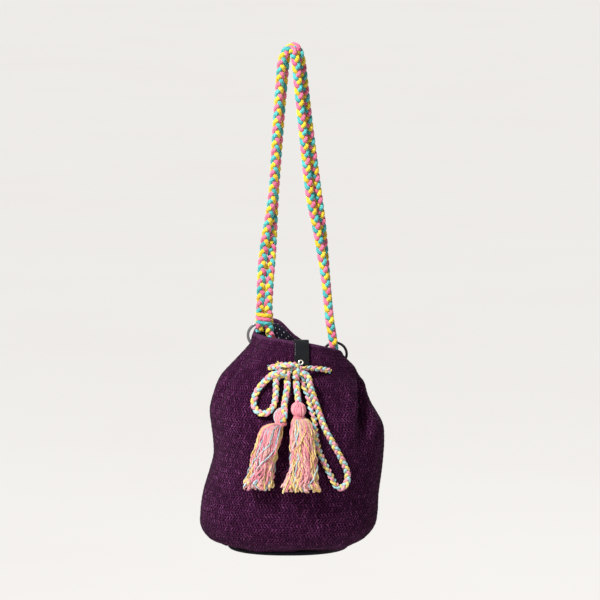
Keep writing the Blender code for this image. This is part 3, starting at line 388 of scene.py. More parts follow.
# Heights above the base, shifts to the right, half widths and half depths, in millimetres
WALL_OUTLINE = np.array([
    (4.2, -3.0, 83.0, 60.0), (15.0, -4.0, 107.5, 77.0), (31.5, -2.7, 119.2, 85.5),
    (48.0, -0.7, 120.8, 87.0), (72.6, 1.7, 119.8, 88.0), (107.0, 7.1, 117.0, 88.0),
    (127.0, 10.0, 115.6, 87.0), (148.0, 10.1, 116.4, 86.0), (168.6, 8.0, 116.6, 83.5),
    (189.0, 2.6, 112.2, 79.0), (210.0, 0.8, 104.4, 73.0), (234.0, 2.0, 94.4, 65.0),
    (247.5, 5.4, 83.7, 60.0), (260.2, 10.1, 73.6, 54.5), (267.4, 11.1, 67.2, 51.0),
    (274.0, 9.8, 63.2, 48.0), (280.5, 9.1, 60.4, 46.0),
]) * MM
SQUARENESS = 2.25
WALL_THICKNESS = 5.0 * MM
TILT_START_HEIGHT = 200.0 * MM
RIM_ROUNDING = 2.0 * MM
FOOT_WAVE = 0.8 * MM
TURN_STEP, RISE_STEP = 0.02, 0.006
# Bumps inwards in millimetres, the centre and width of each in turn, in degrees, and in rise.
# The turns of the deep fold and of its two lips count from the fold's own place
DEEP_FOLD = (15.0, 0.0, 7.5, 0.72, 0.135)
FOLD_LIPS = ((-5.0, 19.0, 12.0, 0.66, 0.15), (-3.5, -13.0, 8.0, 0.74, 0.15))
LEFT_CREASE = (4.5, 205.0, 8.0, 0.78, 0.17)
MOUTH_CORNER = (-4.0, 333.0, 17.0, 0.98, 0.08)
# The deep fold's turn in degrees, and how far it moves, from which rise and over how much
FOLD_TURN, FOLD_MOVE, FOLD_MOVE_FROM, FOLD_MOVE_OVER = 318.0, 24.0, 0.55, 0.3
GATHERS, GATHER_DEPTH, SAG_DEPTH = 10, 1.1, 1.8
# The rim's slopes to the left, to the front and twice round, and two pulls up at its left back:
# height, turn and width. Heights are in millimetres, turns in degrees
RIM_LEFT, RIM_FRONT, RIM_TWIST = 13.0, 7.4, 2.0
RIM_PULLS = ((14.0, 138.0, 22.0), (20.0, 110.0, 21.0))
outline_steps = np.hypot(np.diff(WALL_OUTLINE[:, 0]), np.diff(WALL_OUTLINE[:, 2]))
WALL_LENGTH = float(outline_steps.sum())
OUTLINE_RISE = np.concatenate([[0.0], np.cumsum(outline_steps)]) / WALL_LENGTH


def outline_value(rise, column):
    """A cubic between each two stations that takes its slopes from the stations, and straight
    on past the rim."""
    values = WALL_OUTLINE[:, column]
    slopes = np.gradient(values, OUTLINE_RISE)
    inside = np.clip(rise, 0.0, 1.0)
    index = np.clip(np.searchsorted(OUTLINE_RISE, inside, side="right") - 1, 0, len(values) - 2)
    span = OUTLINE_RISE[index + 1] - OUTLINE_RISE[index]
    t = (inside - OUTLINE_RISE[index]) / span
    cubic = ((2 * t ** 3 - 3 * t ** 2 + 1) * values[index]
             + (t ** 3 - 2 * t ** 2 + t) * span * slopes[index]
             + (3 * t ** 2 - 2 * t ** 3) * values[index + 1]
             + (t ** 3 - t ** 2) * span * slopes[index + 1])
    return cubic + (rise - inside) * np.where(rise > 1.0, slopes[-1], slopes[0])


def hill(value, centre, width):
    """A smooth bump of height one: e to the minus square of the distance over the width."""
    return np.exp(-((value - centre) / width) ** 2)


def degrees_from(turn, centre):
    """Degrees from a centre to a turn, counted the short way round."""
    return (np.degrees(turn) - centre + 180.0) % 360.0 - 180.0


def turn_hill(turn, centre, width):
    """The same bump in the turn. Its centre and width are in degrees."""
    return hill(degrees_from(turn, centre), 0.0, width)


def bump(turn, rise, form, place=0.0):
    """A bump's height times its hill in the turn times its hill in the rise. Its turn counts
    from the place."""
    height, turn_centre, turn_width, rise_centre, rise_width = form
    return (height * turn_hill(turn, place + turn_centre, turn_width)
            * hill(rise, rise_centre, rise_width))


def fold_place(rise):
    """The turn, in degrees, of the deep fold: it moves to the right as it goes up."""
    return FOLD_TURN + FOLD_MOVE * np.clip((rise - FOLD_MOVE_FROM) / FOLD_MOVE_OVER, 0.0, 1.0)


def fold_depth(turn, rise):
    """How far the cloth is folded in: the deep fold at the right and its two lips, the soft
    crease at the left, the mouth's corner, the gathers under the rim, and a slow sag."""
    with_fold = sum(bump(turn, rise, form, fold_place(rise)) for form in (DEEP_FOLD, *FOLD_LIPS))
    gathers = GATHER_DEPTH * (1 + np.cos(GATHERS * turn + 0.6)) * hill(rise, 0.90, 0.09)
    sag = SAG_DEPTH * np.sin(3 * turn + 9 * rise) * np.sin(np.pi * np.clip(rise, 0, 1))
    return (with_fold + bump(turn, rise, LEFT_CREASE) + bump(turn, rise, MOUTH_CORNER) + gathers
            + sag) * MM


def rim_lift(turn):
    """The rim rises to the left and a little to the front, by a cosine and a sine of the turn,
    and is pulled up at its left back."""
    slopes = -RIM_LEFT * np.cos(turn) - RIM_FRONT * np.sin(turn) - RIM_TWIST * np.sin(2 * turn)
    pulls = sum(height * turn_hill(turn, centre, width) for height, centre, width in RIM_PULLS)
    return (slopes + pulls) * MM


def smooth_wall(turn, rise, creases=0.0):
    """x = shift + (half width - fold) * cos(turn) ** (2 / squareness), y likewise with sine,
    and z = height + rim lift * tilt ** 1.5, where the tilt grows from 0 to 1 at the rim. The
    foot lifts in five waves. Finer creases may be added to the folds."""
    turn, rise = np.asarray(turn, dtype=float), np.asarray(rise, dtype=float)
    height = outline_value(rise, 0)
    cosine, sine = squared_circle(turn, 2.0 / SQUARENESS)
    fold = fold_depth(turn, rise) + creases
    x = outline_value(rise, 1) + (outline_value(rise, 2) - fold) * cosine
    y = (outline_value(rise, 3) - fold) * sine
    top = WALL_OUTLINE[-1, 0]
    tilt = np.clip((height - TILT_START_HEIGHT) / (top - TILT_START_HEIGHT), 0.0, 1.3)
    foot_wave = FOOT_WAVE * (1 + np.sin(5 * turn + 0.9)) * hill(rise, 0.0, 0.04)
    return np.stack([x, y, height + tilt ** 1.5 * rim_lift(turn) + foot_wave - HANG_HEIGHT], -1)


def wall_point(turn, rise, depth, wall=smooth_wall):
    """The wall's point moved in by a depth, square to the surface: the square direction is
    the step round the wall cross the step up it."""
    round_it = wall(turn + TURN_STEP, rise) - wall(turn - TURN_STEP, rise)
    up_it = wall(turn, rise + RISE_STEP) - wall(turn, rise - RISE_STEP)
    outward = unit(np.cross(round_it, up_it))
    return wall(turn, rise) - outward * np.asarray(depth)[..., None]


def rise_at_height(height):
    """The rise at which the outline reaches a height above the base."""
    return float(np.interp(height, WALL_OUTLINE[:, 0], OUTLINE_RISE))


def front_turn(x, rise):
    """The turn at which the front of the wall passes an x."""
    ratio = (x - outline_value(rise, 1)) / outline_value(rise, 2)
    cosine = np.clip(signed_power(ratio, SQUARENESS / 2), -0.999, 0.999)
    return 2 * np.pi - np.arccos(cosine)


print("wall length up the side", round(WALL_LENGTH / MM, 1), "mm")

# %% [markdown]
# ## Laying cords on the front
#
# The bow's loops rest on the front of the bag, so their places are given as x, height and how
# far the middle of the cord stands off the cloth. The y comes from casting a ray at the wall.

# %% Find the front of the wall
front_turns, front_rises = np.meshgrid(np.linspace(np.pi, 2 * np.pi, 73), np.linspace(0, 1, 61))
front_grid = smooth_wall(front_turns, front_rises)
front_index = np.arange(front_grid[..., 0].size).reshape(front_grid.shape[:2])
front_faces = np.stack([front_index[:-1, :-1], front_index[:-1, 1:], front_index[1:, 1:],
                        front_index[1:, :-1]], axis=-1).reshape(-1, 4)
front_tree = BVHTree.FromPolygons(front_grid.reshape(-1, 3).tolist(), front_faces.tolist())


def front_y(x, height):
    """The y at which a ray from the front meets the wall."""
    start = Vector((x, -1.0, height - HANG_HEIGHT))
    return front_tree.ray_cast(start, Vector((0.0, 1.0, 0.0)))[0].y


def on_front(places):
    """Places given as x, height and stand-off in millimetres, laid against the front."""
    return [(x * MM, front_y(x * MM, height * MM) - off * MM, height * MM - HANG_HEIGHT)
            for x, height, off in places]


print("front at the middle", round(front_y(0.0, 150 * MM) / MM, 1), "mm")

# %% [markdown]
# ## The drawstring, its bow and its tails
#
# One plaited cord runs round the neck between the crochet and the lining, comes out through the
# stitches at the front and is tied in a bow. It is laid in the model as five pieces that meet at
# the knot: the run round the neck, two loops and two tails. Its whole length shows in the
# photograph or is fixed by the bag's own neck, so none has to be guessed or coiled away. The
# tails run down into their tassels, over or into the wound heads, as far as the tie.

# %% The knot's place and the cord's exits
TOUCH_GAP = 0.4 * MM
CORD_STUB = 2.2 * MM
KNOT_CORD_RADIUS = 5.25 * MM
DRAWSTRING_HEIGHT = 251.0 * MM
LEFT_EXIT_X = -17.0 * MM
RIGHT_EXIT_X = 44.0 * MM
INTO_WALL = math.radians(7.0)
INTO_KNOT = -4.5 * MM
# Where the cords leave the knot's ends, in degrees from its back
NECK_ANGLE, LOOP_OUT_ANGLE, LOOP_BACK_ANGLE = 60.0, 180.0, 300.0
LABEL_THICKNESS = 0.9 * MM
LABEL_STANDOFF = 2.6 * MM
NECK_RISE = rise_at_height(DRAWSTRING_HEIGHT)
EXIT_TURNS = (float(front_turn(LEFT_EXIT_X, NECK_RISE)),
              float(front_turn(RIGHT_EXIT_X, NECK_RISE)) - 2 * math.pi)
knot_low, knot_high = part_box("bow_knot")
KNOT = np.array((knot_low + knot_high) / 2)
KNOT_HALF_LENGTH = (knot_high.x - knot_low.x) / 2
KNOT_RADIUS = (knot_high.z - knot_low.z) / 2
print("knot's middle:", np.round(KNOT / MM, 1), "mm")


def knot_end(side, angle, out=0.0):
    """A cord's place on an end of the knot: side -1 or 1, the angle in degrees from +Y."""
    turn = math.radians(angle)
    return tuple(KNOT + np.array([side * (KNOT_HALF_LENGTH + TOUCH_GAP + out),
                                  KNOT_CORD_RADIUS * math.cos(turn),
                                  KNOT_CORD_RADIUS * math.sin(turn)]))


def neck_route():
    """Out of the knot's left end, in through the wall, round the neck at one depth behind it
    and out again, over the label, to the knot's right end."""
    def at(turn, depth):
        """A place at the neck's height and a depth behind the wall's face."""
        return tuple(wall_point(turn, NECK_RISE, depth))

    start, end = EXIT_TURNS
    outside = -(CORD / 2 + 2 * TOUCH_GAP)
    over_label = outside - LABEL_STANDOFF - LABEL_THICKNESS
    inside = WALL_THICKNESS + CORD / 2 + 2 * TOUCH_GAP
    hidden = np.linspace(start - 2.6 * INTO_WALL, end + 2.6 * INTO_WALL, 24)
    return (
        [knot_end(-1, NECK_ANGLE, INTO_KNOT), knot_end(-1, NECK_ANGLE, CORD_STUB),
         at(start + INTO_WALL / 2, outside), at(start - INTO_WALL, WALL_THICKNESS / 2)]
        + [at(turn, inside) for turn in hidden]
        + [at(end + INTO_WALL, WALL_THICKNESS / 2), at(end - INTO_WALL / 2, outside),
           at(end - 2 * INTO_WALL, over_label), knot_end(1, NECK_ANGLE, 2.6 * CORD_STUB),
           knot_end(1, NECK_ANGLE, INTO_KNOT)]
    )


def loop_route(side, places):
    """A loop: out of the knot's end, down the front of the bag and back in lower down."""
    out_in = [knot_end(side, LOOP_OUT_ANGLE, out) for out in (INTO_KNOT, CORD_STUB)]
    back_in = [knot_end(side, LOOP_BACK_ANGLE, out) for out in (CORD_STUB, INTO_KNOT)]
    return out_in + on_front(places) + back_in


# Places on the front: x, height above the base and stand-off, in millimetres
LEFT_LOOP = [
    (-17.5, 251.0, 19.0), (-24.5, 248.0, 14.0), (-31.0, 241.5, 9.0), (-38.5, 233.5, 5.6),
    (-44.5, 225.0, 5.2), (-48.0, 215.0, 5.2), (-48.0, 207.5, 5.2), (-44.5, 201.0, 5.2),
    (-38.0, 197.5, 5.2), (-30.5, 198.5, 5.2), (-24.5, 203.5, 5.2), (-20.5, 211.5, 5.2),
    (-19.0, 221.0, 5.6), (-18.6, 230.0, 7.0), (-18.6, 238.0, 9.5), (-17.4, 244.5, 10.5),
]
RIGHT_LOOP = [
    (20.5, 250.5, 19.0), (25.0, 245.5, 19.0), (27.0, 236.0, 16.0), (31.5, 221.0, 10.5),
    (38.0, 201.5, 6.0), (46.0, 179.5, 5.2), (58.0, 157.0, 5.2), (69.0, 136.5, 5.2),
    (76.5, 118.5, 5.2), (76.5, 105.0, 5.2), (69.5, 97.0, 5.2), (61.5, 101.0, 5.2),
    (55.5, 112.5, 5.2), (47.5, 129.0, 5.2), (39.0, 148.5, 5.2), (34.5, 168.5, 5.2),
    (32.5, 188.0, 5.2), (29.0, 201.0, 5.2), (24.0, 221.0, 5.6), (18.8, 234.0, 8.0),
    (18.0, 242.5, 10.5),
]
# Start's x, places on the front, x and y of the head's top, and places counted from there, in
# millimetres
TAILS = {
    "left": (-3.5, [(-3.5, 234.0, 12.5), (-5.5, 221.0, 12.0), (-7.5, 210.0, 11.4)],
             (-8.5, -84.3), [(1.2, -7.0, -3.0), (0.2, -10.8, -9.5), (-3.4, -5.5, -16.8)]),
    "right": (8.8, [(9.0, 233.0, 13.5), (10.5, 221.0, 13.6)],
              (11.0, -84.7), [(0.0, 0.0, 0.0), (0.6, 0.0, -17.4)]),
}


def tail_route(side):
    """A tail: out of the knot's underside, down the front, then over or into its tassel's
    head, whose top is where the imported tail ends."""
    x, places, (head_x, head_y), into_head = TAILS[side]
    under = KNOT[2] - KNOT_RADIUS - TOUCH_GAP
    head_top = np.array([head_x * MM, head_y * MM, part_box("tassel_tail_" + side)[0].z])
    return ([(x * MM, KNOT[1], under - INTO_KNOT), (x * MM, KNOT[1], under - CORD_STUB)]
            + on_front(places) + [tuple(head_top + np.array(place) * MM) for place in into_head])


# %% Plait the cords
PATH_STEP = 1.2 * MM
PULLED_LENGTH = 45 * MM
PULLED_THIN = 0.27
cord_routes = {
    "drawstring": (neck_route(), (0, 0, 1), "bag"),
    "bow_loop_left": (loop_route(-1, LEFT_LOOP), (0, 0, 1), "bag"),
    "bow_loop_right": (loop_route(1, RIGHT_LOOP), (0, 0, 1), "bag"),
    "tassel_tail_left": (tail_route("left"), (1, 0, 0), "tassel_left"),
    "tassel_tail_right": (tail_route("right"), (1, 0, 0), "tassel_right"),
}
for node_name, (route, first_side, body) in cord_routes.items():
    path = smooth_path(route, PATH_STEP)
    along = distance_along(path)
    # The drawstring's end at the right is pulled thin
    pulled = np.clip((along - along[-1]) / PULLED_LENGTH + 1.3, 0.0, 1.0)
    width = CORD * (1.0 - PULLED_THIN * pulled * (node_name == "drawstring"))
    cord = plait(node_name + "_plait", path, width, first_side, pastel_cotton)
    set_in_place(cord, body, "pastel_braid", node_name)
    print(node_name, "length", round(float(along[-1]) / MM, 1), "mm")

# %% [markdown]
# ## The knot
#
# Close up, the bow's knot is the same cord passed over itself: one turn goes round the ends at
# the right, a second one leans beside it, and the cord's short end lies across the top and
# sticks out at the left, cut and a little frayed. Each turn is a circle about a line along X
# that drifts sideways as it goes, so the turns lean as they do on the real knot.

# %% Tie the knot
def knot_turn(middle_x, reach, lean):
    """A circle in y and z about the knot's middle; x follows the circle's height, times lean."""
    turn = np.linspace(0.0, 2.12 * np.pi, 60) - 0.4
    return KNOT + np.column_stack([middle_x - KNOT[0] + lean * np.cos(turn),
                                   reach * np.sin(turn), reach * np.cos(turn)])


across_top = smooth_path(np.array([
    (-14.0, -76.0, -408.8), (-10.0, -78.4, -410.0), (-5.0, -80.2, -409.6), (1.0, -80.8, -408.8),
    (7.0, -79.4, -409.4), (12.5, -76.5, -413.0), (14.0, -74.0, -418.5)]) * MM, 0.8 * MM)
for name, path, width in (
        ("bow_knot_turn_right", knot_turn(8.6 * MM, 6.9 * MM, 1.2 * MM), 8.8 * MM),
        ("bow_knot_turn_left", knot_turn(-2.2 * MM, 5.4 * MM, 2.6 * MM), 8.0 * MM),
        ("bow_knot_across", across_top, 7.2 * MM)):
    turn_of_cord = plait(name, path, width, (1, 0, 0.2), pastel_cotton)
    set_in_place(turn_of_cord, "bag", "pastel_braid", "bow_knot")


# %% Fray the short ends
YARN_RADIUS = 0.75 * MM


def thread(name, paths, radius, first_side, materials, slots=None, columns=10):
    """Round threads along equal numbers of points, each with its own carried frame."""
    frames = [carried_frame(path, first_side) for path in paths]
    sides = np.array([side for side, _ in frames])
    backs = np.array([away for _, away in frames])
    sections = tubes(np.array(paths), sides, backs, radius, radius, columns)
    return skin(name, sections, distance_along(paths[0]) / YARN_LAY, materials, slots=slots)


def frayed_end(name, place, direction, reach, spread, count, seed):
    """Short bent yarns from one place: place + reach * t * direction + spread * t squared
    times a random direction, t from 0 to 1."""
    rng = np.random.default_rng(seed)
    t = np.linspace(0.0, 1.0, 7)[:, None]
    paths = [np.array(place) + rng.uniform(0.6, 1.0) * reach * t * np.array(direction)
             + spread * t ** 2 * rng.normal(0.0, 1.0, 3) for _ in range(count)]
    slots = rng.choice([0, 1, 1], count)
    piece = thread(name, paths, YARN_RADIUS, (0, 0.3, 1), pastel_cotton, slots, 6)
    set_in_place(piece, "bag", "pastel_braid")


frayed_end("frayed_left_end", across_top[2], (-0.8, -0.15, 0.55), 5.5 * MM, 1.4 * MM, 12, 3)
right_exit = wall_point(EXIT_TURNS[1], NECK_RISE, -2.6 * MM)
frayed_end("frayed_right_end", right_exit, (0.95, -0.2, 0.1), 7.0 * MM, 1.4 * MM, 9, 5)

# %% [markdown]
# ## The handle
#
# The handle is one long plait. It starts as a short tail inside the mouth, runs up over the hook,
# down through the right ring, up and over again, and is turned through the left ring. Its route
# is a list of places, as a maker would pin it, with the ring turns worked out from the rings.

# %% Plait the handle
ring_boxes = {side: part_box("ring_" + side) for side in ("left", "right")}
RINGS = {side: np.array((low + high) / 2) for side, (low, high) in ring_boxes.items()}
RING_WIRE = 3.6 * MM
RING_RADIUS = (ring_boxes["left"][1].x - ring_boxes["left"][0].x - RING_WIRE) / 2
PULL = {"left": unit(np.array([0.035, 0.0, 1.0])), "right": unit(np.array([-0.15, 0.0, 1.0]))}
RUN_SIDE = HANDLE_PLAIT / 2 + 0.25 * MM
RING_BEND = RING_WIRE / 2 + HANDLE_PLAIT / 2 + 0.7 * MM
BACK_RUN_X = -29.0 * MM


def above_ring(side, rise, y):
    """A place above a ring, along the pull of the handle."""
    return tuple(RINGS[side] + PULL[side] * (RING_RADIUS + rise) + np.array([0.0, y, 0.0]))


def round_ring(side, way):
    """Half a turn under a ring: from its back to its front if the way is 1, or -1 for back."""
    return [above_ring(side, -down * RING_BEND, way * over * RING_BEND)
            for down, over in ((0.0, 1.0), (0.72, 0.72), (1.0, 0.0), (0.72, -0.72), (0.0, -1.0))]


def handle_route():
    """The plait's middle line, from its tail inside the mouth to its sewn end."""
    plane = RINGS["left"][1]
    ring_z = RINGS["left"][2]
    side, tail_y = RUN_SIDE, plane - RING_BEND

    def run(x, y, share):
        """A place whose height is a share of the way down to the rings."""
        return (x * MM, y * MM, share * ring_z)

    def arch(x, y, z):
        """A place near the hook, in millimetres."""
        return (x * MM, y * MM, z * MM)

    return [
        (-24.4 * MM, tail_y, ring_z - 7.9 * MM), (-26.5 * MM, tail_y, ring_z + 2.1 * MM),
        (-28.2 * MM, tail_y, ring_z + 14.6 * MM), (BACK_RUN_X, plane - side, ring_z + 28.1 * MM),
        (BACK_RUN_X, plane - side, ring_z + 47.1 * MM), run(-27.3, -12.0, 0.800),
        run(-23.8, -0.5, 0.682), run(-20.4, 5.5, 0.496), run(-13.8, 5.8, 0.2624),
        arch(-7.6, 5.8, -28.0), arch(-5.0, 5.8, -6.0), arch(-1.0, 5.8, 5.2), arch(4.6, 5.8, 8.4),
        arch(10.4, 5.8, 4.6), arch(14.6, 5.8, -7.5), arch(17.4, 5.6, -28.0),
        run(25.6, 4.2, 0.2624), run(37.2, 2.4, 0.496), run(43.4, 3.4, 0.6245),
        run(48.6, 2.6, 0.798), above_ring("right", 36.0 * MM, side),
        above_ring("right", 14.0 * MM, side + 0.6 * MM), *round_ring("right", 1),
        above_ring("right", 14.0 * MM, -side - 0.6 * MM), above_ring("right", 36.0 * MM, -side),
        run(47.6, -9.4, 0.798), run(36.4, -6.6, 0.6245), run(26.6, -3.6, 0.496),
        run(17.0, -4.6, 0.2624), arch(9.6, -5.8, -28.0), arch(7.9, -5.8, -10.0),
        arch(4.6, -5.8, 1.6), arch(-0.8, -5.8, 5.7), arch(-6.4, -5.8, 1.4),
        arch(-10.4, -5.8, -10.0), arch(-12.6, -5.8, -28.0), run(-17.8, -5.8, 0.2624),
        run(-23.4, -6.2, 0.496), run(-34.6, -6.6, 0.682), run(-38.6, -14.0, 0.800),
        above_ring("left", 36.0 * MM, -side), above_ring("left", 16.0 * MM, -side),
        above_ring("left", 8.0 * MM, -side), *round_ring("left", -1),
        above_ring("left", 8.0 * MM, side), above_ring("left", 24.0 * MM, side),
    ]


handle_path = smooth_path(handle_route(), 1.6 * MM)
handle = plait("handle_plait", handle_path, HANDLE_PLAIT, (1, 0, 0), bright_cotton)
set_in_place(handle, "handle", "bright_braid", "handle_braid")
print("handle length", round(float(distance_along(handle_path)[-1]) / MM), "mm")

# %% [markdown]
# ## The whipping above the left ring
#
# The two ends of the handle are held by a few thick turns of the same cotton. The turns go round
# a rounded rectangle, because they hold three runs of plait side by side, and they are pulled
# tight, so they lie a little aslant and press into the plait.

# %% Wind the whipping
wrap_low, wrap_high = (np.array(corner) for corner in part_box("handle_wrap"))
WRAP_THREAD = 5.4 * MM
WRAP_PRESS = 2.6 * MM
WRAP_LEAN, WRAP_PITCH = 0.9 * MM, 0.3 * MM


def whipping_path(top):
    """Once round a squared oval, q from 0 to one turn; z leans with q's cosine and sinks."""
    q = np.linspace(0.0, 2.03 * np.pi, 90) + np.pi / 2
    middle = (wrap_low + wrap_high) / 2
    half = (wrap_high - wrap_low) / 2 - WRAP_THREAD / 2 - np.array([WRAP_PRESS, 0.6 * MM, 0.0])
    cosine, sine = squared_circle(q, 0.7)
    return np.column_stack([middle[0] + half[0] * cosine, middle[1] + half[1] * sine,
                            top - WRAP_LEAN * cosine - WRAP_PITCH * (q - q[0])])


whip_tops = wrap_high[2] - WRAP_THREAD * np.array([0.75, 1.75, 2.7])
whipping = thread("handle_whipping", [whipping_path(top) for top in whip_tops],
                  WRAP_THREAD / 2, (0, 0, 1), bright_cotton, [1, 0, 2], 14)
set_in_place(whipping, "handle", "bright_braid", "handle_wrap")

# %% [markdown]
# ## The rings
#
# The left ring is a split ring: flat spring wire wound twice, with a short step where the inner
# turn crosses to the outer one. The right ring is one bent round wire, blackened. Both are plated
# steel: dark, fairly smooth, with fine scuffs that break up the highlights.

# %% Bend the rings
def plated_steel(name, colour, roughness):
    """Dark plated steel: metallic, with a fine noise in its roughness for scuffs."""
    material, tree, shader = new_material(name, roughness, metallic=1.0)
    place = add(tree, "TexCoord", {}, out=3)
    scuffs = add(tree, "TexNoise", {"Vector": place, "Scale": 700.0, "Detail": 3.0})
    rough = add(tree, "MapRange", {"Value": scuffs, "To Min": roughness - 0.08,
                                   "To Max": roughness + 0.12})
    dents = add(tree, "Bump", {"Height": scuffs, "Distance": 0.03 * MM})
    feed(shader, {"Base Color": linear(colour), "Roughness": rough, "Normal": dents})
    return material


def ring_path(side, start, end, points, step_over):
    """A circle facing the front; y is a tanh of the angle that steps over once, halfway."""
    angle = np.linspace(start, end, points)
    middle = (start + end) / 2
    y = step_over * np.tanh((angle - middle) / 0.25)
    circle = np.column_stack([np.cos(angle) * RING_RADIUS, y, np.sin(angle) * RING_RADIUS])
    return RINGS[side] + circle


gunmetal = plated_steel("plated_steel_gunmetal", "#807e82", 0.3)
black_plate = plated_steel("plated_steel_black", "#2b2a2c", 0.32)
SPLIT_GAP = 0.25
SPLIT_PLACE = -2.4
split_path = ring_path("left", SPLIT_PLACE + SPLIT_GAP, SPLIT_PLACE + 4 * np.pi - SPLIT_GAP, 260,
                       RING_WIRE / 4)
outward = unit((split_path - RINGS["left"]) * np.array([1.0, 0.0, 1.0]))
_, across_wire = carried_frame(split_path, outward[0])
split_sections = tubes(split_path, outward, across_wire, RING_WIRE / 2, RING_WIRE / 4.3, 14,
                       squareness=2.8)
ring_left = skin("ring_left_split", split_sections, np.linspace(0, 2, len(split_path)), [gunmetal])
set_in_place(ring_left, "handle", "gunmetal", "ring_left")

plain_path = ring_path("right", 0.0, 2 * np.pi, 121, 0.0)[:-1]
outward = unit(plain_path - RINGS["right"])
plain_sections = tubes(plain_path, outward, north, RING_WIRE / 2, RING_WIRE / 2, 16)
ring_right = skin("ring_right_wire", plain_sections[::-1], np.linspace(0, 1, 121), [black_plate])
set_in_place(ring_right, "handle", "gunmetal", "ring_right")

# %% [markdown]
# ## The crochet
#
# Thick cotton worked round and round in single crochet: each row is about 7 mm high and each
# stitch 4.4 mm wide. A stitch is a slanting post of yarn with a small dark hole beside it, and
# the top loops of the stitches make a thin bar along the row. The rows are worked to and fro, so
# the posts slant one way in one row and the other way in the next, and each starts between two
# of the row below. The posts, bars and holes are real relief in the mesh, three points across a
# stitch and four up a row, and hand work is never quite even, so rows and posts waver. The
# lowest row dips and lifts, so the base shows under it. The finer yarn comes from the material,
# which also paints shade into the holes, highlights on the posts and a highlight along the rim.

# %% Crochet relief
STITCHES = 150
ROWS = 44
POINTS_PER_STITCH = 3
POINTS_PER_ROW = 4
STITCH_DRIFT = 0.5
POST_LEAN = 1.0
STITCH_SINK, POST_RELIEF, BAR_RELIEF = 0.45 * MM, 0.46 * MM, 0.16 * MM
BAR_PLACE = 0.9
PIT_DEPTH, PIT_WIDTH, NECK_RADIUS = 3.2 * MM, 7.0 * MM, 75 * MM
# The edge of the front cloth over the deep fold: its turn in degrees at a rise, its slope, how
# far it is drawn over and how sharp it is in degrees, and the depth behind and the lip in mm
EDGE_TURN, EDGE_RISE, EDGE_SLOPE = 326.6, 0.728, 111.0
LAP_DEGREES, EDGE_SHARPNESS = 2.4, 0.9
EDGE_DEPTH, EDGE_LIP, FINE_SAG = 4.0, 2.6, 0.5
# The shoulder over the fold, in three bumps, and a fine crease at the left
FINE_BUMPS = ((-5.0, 350.0, 20.0, 0.885, 0.045), (-2.5, 350.0, 20.0, 0.8, 0.03),
              (3.0, 350.0, 20.0, 0.7, 0.05), (1.8, 206.0, 3.0, 0.8, 0.15))


def stitch_relief(stitch, row):
    """How far a point stands out: a cosine across each post, which slants with the share of
    the row and turns over in every second row, and a flat cosine for the bar at its top."""
    share = row % 1.0
    way = 2 * (np.floor(row) % 2) - 1
    post = np.cos(2 * np.pi * (stitch + np.floor(row) * STITCH_DRIFT - way * POST_LEAN * share))
    bar = np.cos(2 * np.pi * (share - BAR_PLACE))
    return POST_RELIEF * post * np.sin(np.pi * share) ** 0.5 + BAR_RELIEF * bar - STITCH_SINK


def even_turns(count):
    """Turns that lie equal distances apart round the belly, where stitches are even."""
    fine = np.linspace(0.0, 2 * np.pi, 1441)
    along = distance_along(smooth_wall(fine, np.full_like(fine, 0.5)))
    return np.interp(np.arange(count) / count * along[-1], along, fine)


def pits(turn, rise):
    """The cloth is pushed in where the drawstring goes through it: two round bumps."""
    total = 0.0
    for centre in (EXIT_TURNS[0] - INTO_WALL, EXIT_TURNS[1] + INTO_WALL):
        away_turn = ((turn - centre + np.pi) % (2 * np.pi) - np.pi) * NECK_RADIUS
        away_rise = (rise - NECK_RISE) * WALL_LENGTH
        total = total + np.exp(-(away_turn ** 2 + away_rise ** 2) / PIT_WIDTH ** 2)
    return PIT_DEPTH * total


def past_edge(turn, rise):
    """Degrees of turn past the edge at which the front cloth ends over the deep fold."""
    return degrees_from(turn, EDGE_TURN + EDGE_SLOPE * (rise - EDGE_RISE))


def fine_creases(turn, rise):
    """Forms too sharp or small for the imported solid. In front of its edge the front cloth fills
    the deep fold: the fold times one less a tanh step. The edge has a lip, and behind it the
    fold is deeper. Then come the shoulder above it, a crease at the left, and small sags."""
    past = past_edge(turn, rise)
    behind = 0.5 + 0.5 * np.tanh(past / EDGE_SHARPNESS)
    filled = (1.0 - behind) * bump(turn, rise, DEEP_FOLD, fold_place(rise))
    deep = EDGE_DEPTH * behind * hill(past, 5.0, 5.0) * hill(rise, 0.75, 0.11)
    lip = EDGE_LIP * hill(past, -3.0, 3.2) * hill(rise, 0.75, 0.11)
    bumps = sum(bump(turn, rise, form) for form in FINE_BUMPS)
    sags = FINE_SAG * np.sin(7 * turn + 11 * rise) * np.sin(4 * turn - 16 * rise + 1.0)
    return (deep - lip - filled + bumps + sags) * MM


def creased_wall(turn, rise):
    """The smooth wall with the fine creases, and with the front cloth drawn a little over the
    fold: its turn grows by a bump just before the edge."""
    near_edge = hill(past_edge(turn, rise), -1.0, 2.2) * hill(rise, 0.74, 0.1)
    return smooth_wall(turn + np.radians(LAP_DEGREES) * near_edge, rise, fine_creases(turn, rise))


some_relief = stitch_relief(*np.mgrid[0:3:0.1, 0:2:0.1])
print("posts stand out by", np.round(np.ptp(some_relief) / MM, 2), "mm")


